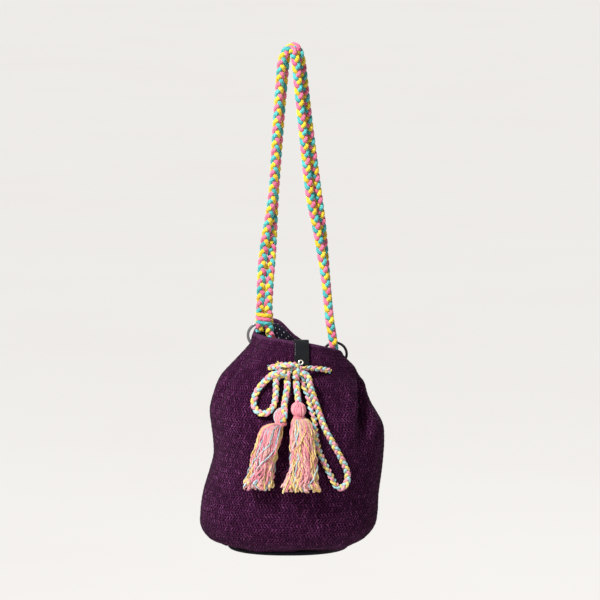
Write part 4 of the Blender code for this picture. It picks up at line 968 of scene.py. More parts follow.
# %% Crochet cotton
def crochet_cotton(name):
    """Plum cotton in single crochet, drawn from the UV map, which counts stitches and rows.
    It uses the relief's own formula for the posts, with a faint second ply across each. Its
    colour is painted shade in the holes and painted highlight on the posts, times a random tone
    for each stitch and patch, with a painted highlight along the rim."""
    material, tree, shader = new_material(name, 0.95, sheen=0.02, specular=0.05)
    uv = add(tree, "SeparateXYZ", {0: add(tree, "UVMap", {}, uv_map="cloth")})
    across, up = uv.node.outputs[:2]
    row = add(tree, "Math", {0: up}, operation="FLOOR")
    share = add(tree, "Math", {0: up}, operation="FRACT")
    second_row = add(tree, "Math", {0: row, 1: 1.0}, operation="PINGPONG")
    way = add(tree, "Math", {0: second_row, 1: 2.0, 2: -1.0}, operation="MULTIPLY_ADD")
    slanted = add(tree, "Math", {0: way, 1: share}, operation="MULTIPLY")

    place = add(tree, "TexCoord", {}, out=3)
    waver = add(tree, "TexNoise", {"Vector": place, "Scale": 260.0, "Detail": 1.0})
    wavered = add(tree, "Math", {0: waver, 1: 1.1, 2: across}, operation="MULTIPLY_ADD")
    begun = add(tree, "Math", {0: row, 1: STITCH_DRIFT, 2: wavered}, operation="MULTIPLY_ADD")
    plies = []
    for lean in (-POST_LEAN, 0.6 * POST_LEAN):
        line = add(tree, "Math", {0: slanted, 1: lean, 2: begun}, operation="MULTIPLY_ADD")
        away = add(tree, "Math", {0: line, 1: 0.5}, operation="PINGPONG")
        plies.append(add(tree, "MapRange", {"Value": away, "From Min": 0.24, "From Max": 0.04}))
    second_ply = add(tree, "Math", {0: plies[1], 1: 0.5}, operation="MULTIPLY")
    crossed = add(tree, "Math", {0: plies[0], 1: second_ply}, operation="MAXIMUM")
    from_end = add(tree, "Math", {0: share, 1: 0.5}, operation="PINGPONG")
    fade = add(tree, "MapRange", {"Value": from_end, "From Max": 0.2, "To Min": 0.42})
    posts = add(tree, "Math", {0: crossed, 1: fade}, operation="MULTIPLY")
    from_bar = add(tree, "Math", {0: share, 1: BAR_PLACE}, operation="SUBTRACT")
    bar_far = add(tree, "Math", {0: from_bar}, operation="ABSOLUTE")
    bar = add(tree, "MapRange", {"Value": bar_far, "From Min": 0.12, "From Max": 0.02,
                                 "To Max": 0.48})
    yarn = add(tree, "Math", {0: posts, 1: bar}, operation="MAXIMUM")

    stitch = add(tree, "Math", {0: begun}, operation="FLOOR")
    cell = add(tree, "CombineXYZ", {0: stitch, 1: row})
    chance = add(tree, "TexWhiteNoise", {"Vector": cell}, noise_dimensions="2D")
    patches = add(tree, "TexNoise", {"Vector": place, "Scale": 30.0, "Detail": 3.0})
    fibres = add(tree, "TexNoise", {"Vector": place, "Scale": 1100.0, "Detail": 2.0})
    patch_tone = add(tree, "Math", {0: patches, 1: 0.5, 2: 0.27}, operation="MULTIPLY_ADD")
    stitch_tone = add(tree, "Math", {0: chance, 1: 0.55, 2: patch_tone}, operation="MULTIPLY_ADD")
    # Painted shade in the holes, painted highlight on the posts, times a random stitch tone.
    tone = add(tree, "Math", {0: yarn, 1: stitch_tone}, operation="MULTIPLY")
    low = add(tree, "MapRange", {"Value": tone, "From Min": 0.0, "From Max": 0.42})
    high = add(tree, "MapRange", {"Value": tone, "From Min": 0.4, "From Max": 1.05})
    deep = add(tree, "Mix", {0: low, 6: linear("#1c0418"), 7: linear("#43153a")}, out=2,
               data_type="RGBA")
    dye_and_painted_shading = add(tree, "Mix", {0: high, 6: deep, 7: linear("#7c4170")}, out=2, data_type="RGBA")
    # A painted highlight along the top row, the rim and the inside of the wall.
    rim_highlight_share = add(tree, "MapRange", {"Value": up, "From Min": ROWS - 0.5, "From Max": float(ROWS),
                                  "To Max": 0.35})
    painted_rim_highlight = add(tree, "Mix", {0: rim_highlight_share, 6: dye_and_painted_shading, 7: linear("#7c4a74")}, out=2, data_type="RGBA")

    height = add(tree, "Math", {0: fibres, 1: 0.3, 2: yarn}, operation="MULTIPLY_ADD")
    loops = add(tree, "Bump", {"Height": height, "Distance": 1.0 * MM})
    feed(shader, {"Base Color": painted_rim_highlight, "Normal": loops})
    return material


plum_crochet = crochet_cotton("crocheted_cotton_plum")
one_stitch = smooth_wall(even_turns(STITCHES)[:2], np.full(2, 0.5))
print("stitch", round(float(distance_along(one_stitch)[-1]) / MM, 2), "mm wide, row",
      round(WALL_LENGTH / ROWS / MM, 2), "mm high")

# %% Work the wall
RIM_WEAR = 1.3 * MM
FOOT_TUCK = 2.2 * MM
ROW_WAVER = 0.8 * MM
INNER_RELIEF = 0.35
turns = even_turns(STITCHES * POINTS_PER_STITCH)
outer_rows = np.arange(ROWS * POINTS_PER_ROW + 1) / POINTS_PER_ROW
over = np.linspace(0.0, np.pi, 8)[1:-1]
inner_rises = np.linspace(1.0, 0.0, 10)
wall_rises = np.concatenate([outer_rows / ROWS, 1.0 + RIM_ROUNDING * np.sin(over) / WALL_LENGTH,
                             inner_rises])
wall_depths = np.concatenate([np.zeros(len(outer_rows)), WALL_THICKNESS / 2 * (1 - np.cos(over)),
                              np.full(len(inner_rises), WALL_THICKNESS)])
row_count = np.concatenate([outer_rows, ROWS + np.arange(1, len(over) + len(inner_rises) + 1) / 4])
turn_grid, rise_grid = np.meshgrid(turns, wall_rises)
stitch_grid, row_grid = np.meshgrid(np.arange(len(turns)) / POINTS_PER_STITCH, row_count)
outside = (np.arange(len(wall_rises)) < len(outer_rows))[:, None]
relief = stitch_relief(stitch_grid, row_grid) * np.where(outside, 1.0, INNER_RELIEF)
waver = np.where(outside, ROW_WAVER / WALL_LENGTH, 0.0) * (
    np.sin(9 * turn_grid + 0.5 * row_grid) * np.sin(0.23 * row_grid - 4 * turn_grid))
foot = hill(rise_grid, 0.0, 0.035) * outside
depth_grid = wall_depths[:, None] - relief + pits(turn_grid, rise_grid) - FOOT_TUCK * foot
wall_grid = np.where(outside[..., None],
                     wall_point(turn_grid, rise_grid + waver, depth_grid, creased_wall),
                     wall_point(turn_grid, rise_grid + waver, depth_grid))
foot_lift = 0.5 + 1.3 * np.sin(5 * turn_grid + 2.2) + 0.7 * np.sin(13 * turn_grid)
wall_grid[..., 2] += foot * foot_lift * MM
# The rim is worn down a little at the left, where the handle brushes it as the bag swings
wall_grid[..., 2] -= RIM_WEAR * turn_hill(turn_grid, 178.0, 14.0) * hill(rise_grid, 1.0, 0.03)
wall = skin("crochet_wall", wall_grid, np.append(row_count, row_count[-1] + 1),
            [plum_crochet], around=STITCHES)
set_in_place(wall, "bag", "plum_crochet", "crochet_body")

# %% [markdown]
# ## The lining
#
# The lining is a plain cotton bag with small white dots, a little smaller than the crochet and
# sewn in just under the rim. It stands further in where the drawstring runs behind it. Its flat
# size is its way round times its height, and the dots are printed 12 mm apart in staggered rows.
# Plain cotton is flat and matt, so that hardly more than the dots shows.

# %% Sew the lining
LINING_THICKNESS = 1.2 * MM
LINING_CLEARANCE = 1.2 * MM
LINING_DROP = 2.0 * MM
BASE_THICKNESS = 5.0 * MM
CHANNEL_HALF = (CORD / 2 + 1.2 * MM) / WALL_LENGTH
CHANNEL_FOOT = (CORD + 7.0 * MM) / WALL_LENGTH
FOLD_ROOM = (1.8, 330.0, 24.0, 0.72, 0.2)
LINING_COLUMNS = 240
DOT_PITCH = 12.0 * MM
DOT_ROW = 10.0 * MM
DOT_RADIUS = 0.8 * MM
LINING_BOTTOM = 70.0 * MM
MIDDLE_ROW = 35


def dotted_cotton(name):
    """Dark cotton with printed dots: the distance to the nearest of two lattices of points,
    the second half a pitch across and half a row up, read from a UV map in metres."""
    material, tree, shader = new_material(name, 0.85, sheen=0.05, specular=0.2)
    cloth = add(tree, "UVMap", {}, uv_map="cloth")
    distances = []
    for shift in (0.0, 0.5):
        cells = add(tree, "VectorMath", {0: cloth, 1: (1 / DOT_PITCH, 1 / DOT_ROW, 0.0),
                                         2: (shift, shift, 0.5)}, operation="MULTIPLY_ADD")
        inside = add(tree, "VectorMath", {0: cells}, operation="FRACTION")
        away = add(tree, "VectorMath", {0: inside, 1: (DOT_PITCH, DOT_ROW, 0.0), 2: (
            -DOT_PITCH / 2, -DOT_ROW / 2, 0.0)}, operation="MULTIPLY_ADD")
        distances.append(add(tree, "VectorMath", {0: away}, out=1, operation="LENGTH"))
    nearest = add(tree, "Math", {0: distances[0], 1: distances[1]}, operation="MINIMUM")
    dots = add(tree, "MapRange", {"Value": nearest, "From Min": DOT_RADIUS * 1.15,
                                  "From Max": DOT_RADIUS * 0.85})
    weave = add(tree, "TexNoise", {"Vector": add(tree, "TexCoord", {}, out=3), "Scale": 1600.0})
    ground = add(tree, "Mix", {0: weave, 6: linear("#120f1b"), 7: linear("#242033")}, out=2,
                 data_type="RGBA")
    printed = add(tree, "Mix", {0: dots, 6: ground, 7: linear("#eeeaf0")}, out=2, data_type="RGBA")
    threads = add(tree, "Bump", {"Height": weave, "Distance": 0.15 * MM})
    feed(shader, {"Base Color": printed, "Normal": threads})
    return material


def lining_point(turn, rise, extra=0.0):
    """The wall moved in by its thickness and a clearance, by the cord where it runs, and by a
    little more behind the deep fold."""
    from_cord = np.abs(rise - NECK_RISE)
    channel = np.clip((CHANNEL_FOOT - from_cord) / (CHANNEL_FOOT - CHANNEL_HALF), 0, 1)
    fold_room = bump(turn, rise, FOLD_ROOM) * MM
    depth = WALL_THICKNESS + LINING_CLEARANCE + (CORD + 2 * TOUCH_GAP) * channel + fold_room
    return wall_point(turn, rise, depth + extra)


lining_turns = even_turns(LINING_COLUMNS)
lining_top = 1.0 - LINING_DROP / WALL_LENGTH
lining_rises = np.linspace(0.0, lining_top, 70)
side_wall = lining_point(*np.meshgrid(lining_turns, lining_rises))
lowest = side_wall[0]
floor_height = BASE_THICKNESS + LINING_THICKNESS + 2 * TOUCH_GAP - HANG_HEIGHT
shares = np.linspace(0.04, 0.94, 10)[:, None, None]
floor_rings = lowest.mean(axis=0) + (lowest - lowest.mean(axis=0)) * shares
floor_rings[..., 2] = floor_height
outer_side = np.concatenate([floor_rings, side_wall])
inner_wall = lining_point(*np.meshgrid(lining_turns, lining_rises), extra=LINING_THICKNESS)
inner_floor = floor_rings + np.array([0.0, 0.0, LINING_THICKNESS])
inner_side = np.concatenate([inner_floor, inner_wall])
lining_grid = np.concatenate([outer_side, inner_side[::-1]])
middle_ring = side_wall[MIDDLE_ROW]
belly_round = float(distance_along(np.vstack([middle_ring, middle_ring[:1]]))[-1])
height_along = np.concatenate([np.linspace(-LINING_BOTTOM, 0.0, 10, endpoint=False),
                               lining_rises * WALL_LENGTH])
lining_cloth = dotted_cotton("printed_cotton_dotted")
lining = skin("dotted_lining", lining_grid, np.concatenate([height_along, height_along[::-1]]),
              [lining_cloth], belly_round)
set_in_place(lining, "bag", "lining_cloth", "lining")

# %% [markdown]
# ## The base
#
# The base is a stiff board covered in dark cotton canvas. It is a squared oval with soft edges:
# a profile that goes out along the bottom, round the edge and back along the top. Its front is
# padded 5 mm further, because there it stands out under the crochet. Canvas is a heavy plain
# weave: threads 0.9 mm apart give it a matt face with a fine, even grain.

# %% Cover the base
BASE_EDGE = 2.2 * MM
BASE_COLUMNS = 160
FRONT_PAD = 5.0 * MM


def woven_canvas(name, light, dark, thread_width, depth):
    """Plain weave: the sine across times the sum of the sines along and up."""
    material, tree, shader = new_material(name, 0.85, sheen=0.05, specular=0.2)
    place = add(tree, "TexCoord", {}, out=3)
    counted = add(tree, "VectorMath", {0: place, "Scale": math.pi / thread_width},
                  operation="SCALE")
    waves = add(tree, "SeparateXYZ", {0: add(tree, "VectorMath", {0: counted}, operation="SINE")})
    wave_x, wave_y, wave_z = waves.node.outputs
    other_way = add(tree, "Math", {0: wave_y, 1: wave_z}, operation="ADD")
    weft = add(tree, "Math", {0: wave_x, 1: other_way}, operation="MULTIPLY")
    grain = add(tree, "TexNoise", {"Vector": place, "Scale": 420.0, "Detail": 2.0})
    tone = add(tree, "Math", {0: weft, 1: 0.18, 2: grain}, operation="MULTIPLY_ADD")
    woven = add(tree, "Mix", {0: tone, 6: linear(dark), 7: linear(light)}, out=2,
                data_type="RGBA")
    threads = add(tree, "Bump", {"Height": weft, "Distance": depth})
    feed(shader, {"Base Color": woven, "Normal": threads})
    return material


base_low, base_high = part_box("base_panel")
base_middle = (np.array(base_low) + np.array(base_high)) / 2
base_half = (np.array(base_high) - np.array(base_low)) / 2
edge_turn = np.linspace(-np.pi / 2, np.pi / 2, 9)
inset = np.concatenate([[0.95, 0.6, 0.25], np.zeros(9), [0.25, 0.6, 0.95]])
rounding = np.concatenate([np.zeros(3), BASE_EDGE * (1 - np.cos(edge_turn)), np.zeros(3)])
base_z = np.concatenate([np.full(3, -base_half[2]), base_half[2] * np.sin(edge_turn),
                         np.full(3, base_half[2])])
base_middles = base_middle + base_z[:, None] * up_axis
base_half_x, base_half_y = (half * (1 - inset) - rounding for half in base_half[:2])
base_rings = tubes(base_middles, east, north, base_half_x, base_half_y, BASE_COLUMNS, SQUARENESS)
in_front = np.clip((base_middle[1] - base_rings[..., 1]) / base_half[1], 0.0, 1.0)
base_rings[..., 1] -= FRONT_PAD * in_front
canvas = woven_canvas("cotton_canvas_navy", "#1d1c26", "#0f0e16", 0.9 * MM, 0.2 * MM)
base = skin("base_cover", base_rings, np.linspace(0, 1, len(base_z)), [canvas])
set_in_place(base, "bag", "base_cloth", "base_panel")

# %% [markdown]
# ## The tassels
#
# A tassel is a bundle of yarn folded over the cord's end: the fold makes a round head, a wound
# thread makes the neck, and below it the cut ends hang free. Each hanging yarn is its own thin
# tube that follows the tassel's section down. It is crimped, because it was unpicked from a
# cord, and it ends in a small frayed knot. A few yarns cross the others. The outer yarns are
# mostly pink, and the yellow and pale blue ones show at the edges and at the ends. Under them
# the head goes on as a core, so that no light comes through.

# %% The tassel's sections
TASSEL_HEAD = 19.0 * MM
TASSEL_DEPTH = 19.0 * MM
TASSEL_STANDOFF = 1.4 * MM
NECK_DROP = 20.5
UNDER_HEAD_YARNS, CORE_SHARE, CORE_ENDS_BEFORE = 0.94, 0.76, 24.0
HEAD_COLUMNS = 120
HEAD_RIPPLE = 0.09
HEAD_YARNS = 22
HEAD_YARN = 1.15 * MM
# Drop below the head's top in millimetres, and share of its radius
HEAD_SHAPE = np.array([(0.0, 0.12), (0.7, 0.42), (2.0, 0.68), (4.6, 0.92), (8.0, 1.03),
                       (11.6, 1.03), (14.6, 0.9), (17.0, 0.7), (18.8, 0.62), (20.5, 0.62)])
# Drop, middle's x and half width, in millimetres
SKIRTS = {
    "left": np.array([(20.5, -15.2, 7.6), (21.9, -19.0, 10.6), (24.4, -22.6, 12.9),
                      (29.5, -25.0, 14.4), (44.0, -29.0, 15.4), (66.0, -35.0, 15.4),
                      (84.0, -37.6, 15.8), (98.0, -41.4, 17.8), (108.5, -42.5, 18.6)]),
    "right": np.array([(20.5, 12.4, 7.2), (23.0, 14.4, 10.2), (27.0, 15.6, 12.4),
                       (33.5, 16.2, 13.8), (40.5, 16.6, 15.0), (54.0, 17.0, 15.3),
                       (68.0, 17.9, 15.3), (81.5, 17.9, 16.3), (94.0, 17.2, 17.8),
                       (106.0, 15.4, 21.0), (119.0, 15.8, 23.6)]),
}
# Top's x, neck's x, top's height, stand-off beyond the usual, and head's radius
TASSELS = {"left": (-11.0, -14.6, 205.6 * MM, 0.0, 8.6 * MM),
           "right": (10.8, 12.4, 213.8 * MM, 2.4 * MM, 9.6 * MM)}


def leaning_middle(x, height, half_width, half_depth, lift):
    """The middle of a section that leans on the most forward wall across it."""
    wall_y = min(front_y(x + share * half_width, height) for share in (-0.4, 0.0, 0.4))
    y = wall_y - max(half_depth, TASSEL_HEAD / 2) - TASSEL_STANDOFF - lift
    return np.array([x, y, height - HANG_HEIGHT])


def skirt_middles(side):
    """Drops, half widths and middles of the skirt, close together."""
    sections = through(SKIRTS[side], 6)
    _, _, top_height, lift, _ = TASSELS[side]
    half_widths = sections[:, 2] * MM
    middles = np.array([
        leaning_middle(x * MM, top_height - drop * MM, half, min(half, TASSEL_DEPTH / 2), lift)
        for (drop, x, _), half in zip(sections, half_widths)])
    return sections[:, 0], half_widths, middles


def head_line(side):
    """Radii and middles down the head, from its top to its neck, along a leaning line."""
    top_x, neck_x, top_height, lift, radius = TASSELS[side]
    drops = np.linspace(0.0, NECK_DROP, 20)
    spread = np.interp(drops, HEAD_SHAPE[:, 0], HEAD_SHAPE[:, 1]) * radius
    middles = np.array([
        leaning_middle((top_x + (neck_x - top_x) * drop / NECK_DROP) * MM, top_height - drop * MM,
                       wide, wide, lift) for drop, wide in zip(drops, spread)])
    return spread, middles


def head_and_core(side):
    """A surface of revolution just under the yarns of the head, with a ripple round it. The
    core goes on as a share of the skirt's section."""
    spread, middles = head_line(side)
    spread = UNDER_HEAD_YARNS * spread
    skirt_drops, half_widths, skirt_line = skirt_middles(side)
    core = (skirt_drops > NECK_DROP + 1.0) & (skirt_drops < skirt_drops[-1] - CORE_ENDS_BEFORE)
    middles = np.concatenate([middles, skirt_line[core]])
    wide = np.concatenate([spread, CORE_SHARE * half_widths[core]])
    deep = np.concatenate([spread, CORE_SHARE * np.minimum(half_widths[core], TASSEL_DEPTH / 2)])
    q = np.linspace(0.0, 2 * np.pi, HEAD_COLUMNS, endpoint=False)
    ripple = 0.94 + HEAD_RIPPLE * np.abs(np.sin(12 * q + 0.8 * np.sin(3 * q)))
    return tubes(middles, east, -north, wide, deep, HEAD_COLUMNS, ripple=ripple)


def over_the_head(side, rng):
    """Yarns from the top to the neck, each at its own angle round the head, which wanders by a
    random share of a half sine of the way down: middle + reach * (cos angle, -sin angle)."""
    spread, middles = head_line(side)
    way = np.linspace(0.0, 1.0, len(spread))
    angle = 2 * np.pi * (np.arange(HEAD_YARNS) + rng.uniform(-0.3, 0.3, HEAD_YARNS)) / HEAD_YARNS
    wander = rng.normal(0.25, 0.3, HEAD_YARNS)[:, None]
    turned = angle[:, None] + wander * np.sin(np.pi * way)
    reach = np.maximum(spread - HEAD_YARN, 0.6 * MM) + rng.uniform(-0.2, 0.5, (HEAD_YARNS, 1)) * MM
    paths = np.tile(middles, (HEAD_YARNS, 1, 1))
    paths[..., 0] += reach * np.cos(turned)
    paths[..., 1] -= reach * np.sin(turned)
    return paths


print("head", TASSEL_HEAD / MM, "mm, skirts", [SKIRTS[side][-1, 0] for side in SKIRTS], "mm long")

# %% The hanging yarns
YARNS = 150
YARN_POINTS = 44
YARN_COLUMNS = 6
# How far a yarn bends where it is tight and how much more where it is loose, in millimetres
WAVE, SWAY, CRIMP = (0.4, 1.2), (0.3, 0.7), (0.35, 0.45)
# The lengths of those bends, and the drops at which a yarn gets loose and a crossing one turns
WAVE_PITCH, CRIMP_PITCH = (28.0, 55.0), (11.0, 18.0)
LOOSE_FROM, LOOSE_OVER = 22.0, 50.0
CROSS_FROM, CROSS_OVER, CROSS_TURN = (30.0, 70.0), 40.0, (1.1, 2.0)
CROSSING_CHANCE = 0.09
OUTER_CHANCE = 0.75
SPLAY, SPLAY_OVER = 2.2, 8.0
# Radii in millimetres, and swellings: their size, place above the yarn's end and width
NECK_YARN, YARN_GROWTH, GROWTH_OVER = 0.66, 0.28, 14.0
SWELLINGS = ((0.8, 3.6, 1.5), (0.3, 0.8, 0.8))


def yarn_colours(side, across, outer, rng):
    """Slots 0 pink, 1 pale yellow, 2 pale blue, 3 pale pink, by where the yarn hangs: a place
    is only likelier to hold a colour, and inside the bundle all four are alike."""
    pick = rng.random(len(across))
    slots = rng.choice([0, 0, 0, 0, 3, 3, 1, 2], len(across))
    if side == "left":
        slots = np.where((across > 0.1) & (across < 0.6) & (pick > 0.72), 2, slots)
        slots = np.where((across < -0.3) & (pick > 0.85), 2, slots)
        slots = np.where((np.abs(across) > 0.8) & (pick > 0.6), 1, slots)
    else:
        slots = np.where((across < -0.3) & (across > -0.75) & (pick > 0.4), 1, slots)
        slots = np.where((across > 0.75) & (pick > 0.4), 1, slots)
    return np.where(outer, slots, rng.choice([0, 0, 3, 1, 2], len(across)))


def hanging_yarns(side, seed):
    """Yarn i hangs at its own share out from the middle line and its own angle round it:
    middle(drop) + share * (half width * cos, half depth * sin), plus a slow wave and a crimp
    that grow with the drop. One in eleven turns a good way round as it comes down. The radius
    grows from the neck down and swells at a frayed knot. Pink yarns are cut at odd lengths, so
    the others show below them."""
    rng = np.random.default_rng(seed)
    section_drops, half_widths, middles = skirt_middles(side)
    angle = 2 * np.pi * (np.arange(YARNS) + rng.uniform(-0.8, 0.8, YARNS)) / YARNS
    outer = rng.random(YARNS) < OUTER_CHANCE
    share = np.where(outer, rng.uniform(0.84, 1.0, YARNS), rng.uniform(0.3, 0.84, YARNS))
    crossing = rng.random(YARNS) < CROSSING_CHANCE
    share = np.where(crossing, 1.04, share)
    slots = yarn_colours(side, np.cos(angle) * share, outer, rng)
    shortest = np.where(slots == 0, -26.0, -9.0)
    length = section_drops[-1] - NECK_DROP + rng.uniform(shortest, 0.5)
    drops = NECK_DROP + np.linspace(0.0, 1.0, YARN_POINTS) * length[:, None]
    half_width = np.interp(drops, section_drops, half_widths)
    half_depth = np.minimum(half_width, TASSEL_DEPTH / 2)
    paths = np.stack([np.interp(drops, section_drops, middles[:, axis]) for axis in range(3)], -1)
    paths[..., 2] = (TASSELS[side][2] - drops * MM) - HANG_HEIGHT
    loose = np.clip((drops - LOOSE_FROM) / LOOSE_OVER, 0.0, 1.0)
    phase = rng.uniform(0, 2 * np.pi, (4, YARNS, 1))
    pitch = rng.uniform(*WAVE_PITCH, (YARNS, 1))
    crimp_pitch = rng.uniform(*CRIMP_PITCH, (YARNS, 1))
    wave, sway, crimp = (
        (tight + more * loose) * np.sin(2 * np.pi * drops / length_of_bend + start)
        for (tight, more), length_of_bend, start in zip(
            (WAVE, SWAY, CRIMP), (pitch, 0.7 * pitch, crimp_pitch), phase))
    drift = rng.uniform(-0.3, 0.3, (YARNS, 1)) * loose ** 1.5
    begin = rng.uniform(*CROSS_FROM, (YARNS, 1))
    turning = rng.choice([-1.0, 1.0], (YARNS, 1)) * rng.uniform(*CROSS_TURN, (YARNS, 1))
    turning = turning * np.clip((drops - begin) / CROSS_OVER, 0, 1)
    drift = np.where(crossing[:, None], turning, drift)
    left_over = length[:, None] + NECK_DROP - drops
    splay = np.clip(1 - left_over / SPLAY_OVER, 0, 1) * rng.normal(0.0, SPLAY, (YARNS, 1))
    turned = angle[:, None] + drift
    paths[..., 0] += share[:, None] * half_width * np.cos(turned) + (wave + crimp + splay) * MM
    paths[..., 1] += -share[:, None] * half_depth * np.sin(turned) + sway * MM
    thick = NECK_YARN + YARN_GROWTH * np.clip((drops - NECK_DROP) / GROWTH_OVER, 0, 1)
    knot = 1 + sum(size * hill(left_over, place, width) for size, place, width in SWELLINGS)
    return paths, thick * knot * MM, slots


print("yarns in a tassel:", YARNS)

# %% Make both tassels
HEAD_COLOURS = {"left": np.resize([0, 3, 0, 2, 0, 3], HEAD_YARNS),
                "right": np.resize([0, 0, 3, 0, 0], HEAD_YARNS)}
for side, seed in (("left", 4), ("right", 9)):
    body = "tassel_" + side
    head_grid = head_and_core(side)
    head = skin(f"tassel_head_{side}", head_grid[::-1], np.linspace(0, 3, len(head_grid)),
                tassel_cotton[:1], around=6.0)
    paths, radius, slots = hanging_yarns(side, seed)
    directions = unit(np.gradient(paths, axis=1))
    sides = unit(east - directions * directions[..., :1])
    yarn_rings = tubes(paths, sides, np.cross(directions, sides), radius, radius, YARN_COLUMNS)
    skirt = skin(f"tassel_skirt_{side}", yarn_rings, np.linspace(0, 17, YARN_POINTS),
                 tassel_cotton, slots=slots)
    over_head = over_the_head(side, np.random.default_rng(seed + 1))
    wound = thread(f"tassel_head_yarns_{side}", over_head, HEAD_YARN, (0, 0, 1), tassel_cotton,
                   HEAD_COLOURS[side], 8)
    for piece in (head, wound, skirt):
        set_in_place(piece, body, "tassel_yarn", "tassel_" + side)

    tie_low, tie_high = (np.array(corner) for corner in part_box("tassel_tie_" + side))
    turn = np.linspace(0.0, 8 * np.pi, 150)
    tie_reach = (tie_high[0] - tie_low[0]) / 2 - 1.5 * MM
    tie_path = (tie_low + tie_high) / 2 + np.column_stack([
        tie_reach * np.cos(turn), tie_reach * np.sin(turn), np.linspace(1.8, -1.6, 150) * MM])
    tie = thread(f"tassel_tie_thread_{side}", [tie_path], YARN_RADIUS, (0, 0, 1),
                 tassel_cotton[:1])
    set_in_place(tie, body, "tie_thread", "tassel_tie_" + side)

# %% [markdown]
# ## The label and its eyelet
#
# The label is a short black woven tape folded over the rim, with pale hand stitches down its left
# edge and a small pale metal eyelet near its lower end. It stays bare. The tape is a flat, squared
# section carried over the rim; its places follow the wall, so it hangs as cloth would. Its fine
# weave, with threads 0.45 mm apart, looks smooth from the camera. The eyelet is polished nickel,
# a pale metal that catches small bright lights.

# %% Fold the label
LABEL_X = 15.5 * MM
LABEL_WIDTH = 20.0 * MM
LABEL_DROP = 33.0 * MM
LABEL_TUCK = 11.0 * MM
LABEL_TUCK_DEPTH = WALL_THICKNESS + LINING_CLEARANCE + LINING_THICKNESS + 2.2 * MM


def label_frame(rise, depth):
    """The label's middle at a rise, the way across it and the way out of the wall."""
    turn = front_turn(LABEL_X, rise)
    middle = wall_point(turn, rise, depth)
    out = unit(wall_point(turn, rise, depth - MM) - middle)
    return middle, unit(east - out * out[..., :1]), out


# Rise past the rim (1 is the rim) in millimetres, and depth in from the wall's face
label_stations = through(np.array([
    (-LABEL_DROP, -LABEL_STANDOFF), (-0.8 * LABEL_DROP, -LABEL_STANDOFF),
    (-0.55 * LABEL_DROP, -LABEL_STANDOFF), (-0.3 * LABEL_DROP, -LABEL_STANDOFF),
    (-0.06 * LABEL_DROP, -LABEL_STANDOFF), (RIM_ROUNDING + 1.4 * MM, -0.3 * MM),
    (RIM_ROUNDING + 2.6 * MM, 0.6 * WALL_THICKNESS),
    (RIM_ROUNDING + 0.6 * MM, LABEL_TUCK_DEPTH - 1.4 * MM), (-2.0 * MM, LABEL_TUCK_DEPTH),
    (-LABEL_TUCK, LABEL_TUCK_DEPTH)]), 6)
label_middles, label_across, _ = label_frame(
    1.0 + label_stations[:, 0] / WALL_LENGTH, label_stations[:, 1])
label_back = unit(np.cross(unit(np.gradient(label_middles, axis=0)), label_across))
label_rings = tubes(label_middles, label_across, label_back, LABEL_WIDTH / 2, LABEL_THICKNESS / 2,
                    48, squareness=6.0)
label_tape = woven_canvas("woven_tape_black", "#191b20", "#0a0b0e", 0.45 * MM, 0.12 * MM)
label_along = distance_along(label_middles)
label = skin("woven_label", label_rings, label_along / YARN_LAY, [label_tape])
set_in_place(label, "bag", "woven_label", "label")

# %% Stitch its edge and set its eyelet
stitch_rises = 1.0 - np.linspace(0.06, 0.5, 6) * LABEL_DROP / WALL_LENGTH
stitch_paths = []
for rise in stitch_rises:
    ends = np.array([rise, rise + 1.7 * MM / WALL_LENGTH])
    middle, across, out = label_frame(ends, np.full(2, -LABEL_STANDOFF - LABEL_THICKNESS / 2))
    ends = middle - across * (LABEL_WIDTH / 2 - 1.4 * MM) + out * 0.1 * MM
    stitch_paths.append(ends[0] + np.linspace(0, 1, 5)[:, None] * (ends[1] - ends[0]))
pale_thread = soft_cotton("cotton_thread_pale", "#b9b7c4", "#8f8c9c")
edge_stitches = thread("label_edge_stitches", stitch_paths, 0.3 * MM, (1, 0, 0), [pale_thread])
set_in_place(edge_stitches, "bag", "woven_label")

EYELET_REACH = 2.75 * MM
EYELET_FROM_END, EYELET_LEFT, EYELET_OUT = 5.5 * MM, 1.6 * MM, 1.3 * MM
eyelet_place, eyelet_across, eyelet_out = label_frame(
    np.array([1.0 - (LABEL_DROP - EYELET_FROM_END) / WALL_LENGTH]), np.array([-LABEL_STANDOFF]))
eyelet_up = np.cross(eyelet_out, eyelet_across)
hoop_turn = np.linspace(0.0, 2 * np.pi, 64, endpoint=False)
hoop_side = np.cos(hoop_turn)[:, None] * eyelet_across + np.sin(hoop_turn)[:, None] * eyelet_up
hoop_centre = eyelet_place - EYELET_LEFT * eyelet_across + EYELET_OUT * eyelet_out
hoop_middle = hoop_centre + EYELET_REACH * hoop_side
hoop_rings = tubes(hoop_middle, hoop_side, eyelet_out[0], 1.0 * MM, 0.8 * MM, 14)
pale_metal = plated_steel("polished_nickel_pale", "#f2eee0", 0.25)
eyelet = skin("label_eyelet_hoop", hoop_rings[::-1], np.linspace(0, 1, 65), [pale_metal])
set_in_place(eyelet, "bag", "pale_metal", "label_eyelet")

# %% [markdown]
# ## Floor and light
#
# The bag hangs half a metre above a pale paper floor that is large enough to have no edge in
# the picture, from whichever side the bag is seen. The world behind it has nearly the same tone,
# so the horizon hardly shows. A ray from the camera, or one that bounces off metal, sees the
# paper nine parts in ten as its tone is written and one part as the lamps light it, so the floor
# looks even and yet keeps the bag's shadow. The light on the bag is not changed by that.

# %% Paper floor
def is_seen(tree):
    """One for rays from the camera, off gloss and through glass, and nought for the rest."""
    rays = add(tree, "LightPath", {}).node.outputs
    seen = add(tree, "Math", {0: rays["Is Camera Ray"], 1: rays["Is Glossy Ray"]}, operation="ADD")
    return add(tree, "Math", {0: seen, 1: rays["Is Transmission Ray"]}, operation="ADD",
               use_clamp=True)


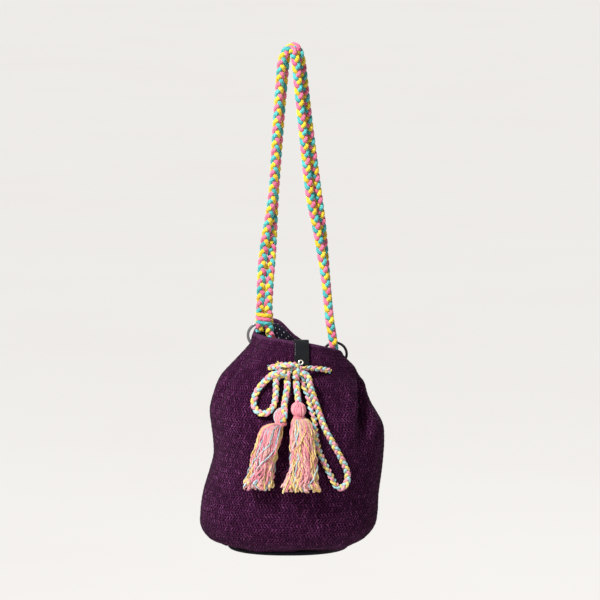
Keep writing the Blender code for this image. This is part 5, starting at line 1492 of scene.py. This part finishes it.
def paper(name, light, dark, written):
    """Matt paper with a very faint cloud in it, a part of which shows as it is written."""
    material, tree, shader = new_material(name, 0.95, specular=0.1)
    cloud = add(tree, "TexNoise", {"Vector": add(tree, "TexCoord", {}, out=3), "Scale": 2.0})
    tint = add(tree, "Mix", {0: cloud, 6: linear(dark), 7: linear(light)}, out=2,
               data_type="RGBA")
    feed(shader, {"Base Color": tint})
    tone = add(tree, "Emission", {"Color": tint})
    share = add(tree, "Math", {0: is_seen(tree), 1: written}, operation="MULTIPLY")
    mixed = add(tree, "MixShader", {0: share, 1: shader.outputs[0], 2: tone})
    feed(tree.nodes["Material Output"], {"Surface": mixed})
    return material


FLOOR_Z = -HANG_HEIGHT - 0.5
FLOOR_HALF = 40.0
WRITTEN = 0.9
floor_points = [(x * FLOOR_HALF, y * FLOOR_HALF, FLOOR_Z)
                for x, y in ((-1, -1), (1, -1), (1, 1), (-1, 1))]
floor_mesh = bpy.data.meshes.new("paper_floor")
floor_mesh.from_pydata(floor_points, [], [(0, 1, 2, 3)])
floor_mesh.materials.append(paper("matt_paper_pale", "#f9f7f4", "#f6f3ef", WRITTEN))
put_in_scene(floor_mesh)
print("floor at", round(FLOOR_Z, 2), "m")


# %% Lamps
def soft_lamp(name, place, size, watts):
    """A square area lamp that points at the bag."""
    lamp = bpy.data.lights.new(name, "AREA")
    lamp.size = size
    lamp.energy = watts
    aim(put_in_scene(lamp), place, LOOK_AT)


soft_lamp("key_lamp", (-1.5, -1.5, 1.8), 0.55, 142.0)
soft_lamp("fill_lamp", (1.7, -1.9, 0.1), 1.4, 8.0)
soft_lamp("back_lamp", (0.9, 2.4, 1.3), 1.4, 45.0)
world = bpy.data.worlds.new("studio")
bpy.context.scene.world = world
world.use_nodes = True
strength = add(world.node_tree, "MapRange", {"Value": is_seen(world.node_tree), "To Min": 0.1,
                                             "To Max": 0.92})
feed(world.node_tree.nodes["Background"], {"Color": linear("#f4f2ee"), "Strength": strength})
bpy.context.scene.view_settings.view_transform = "Standard"
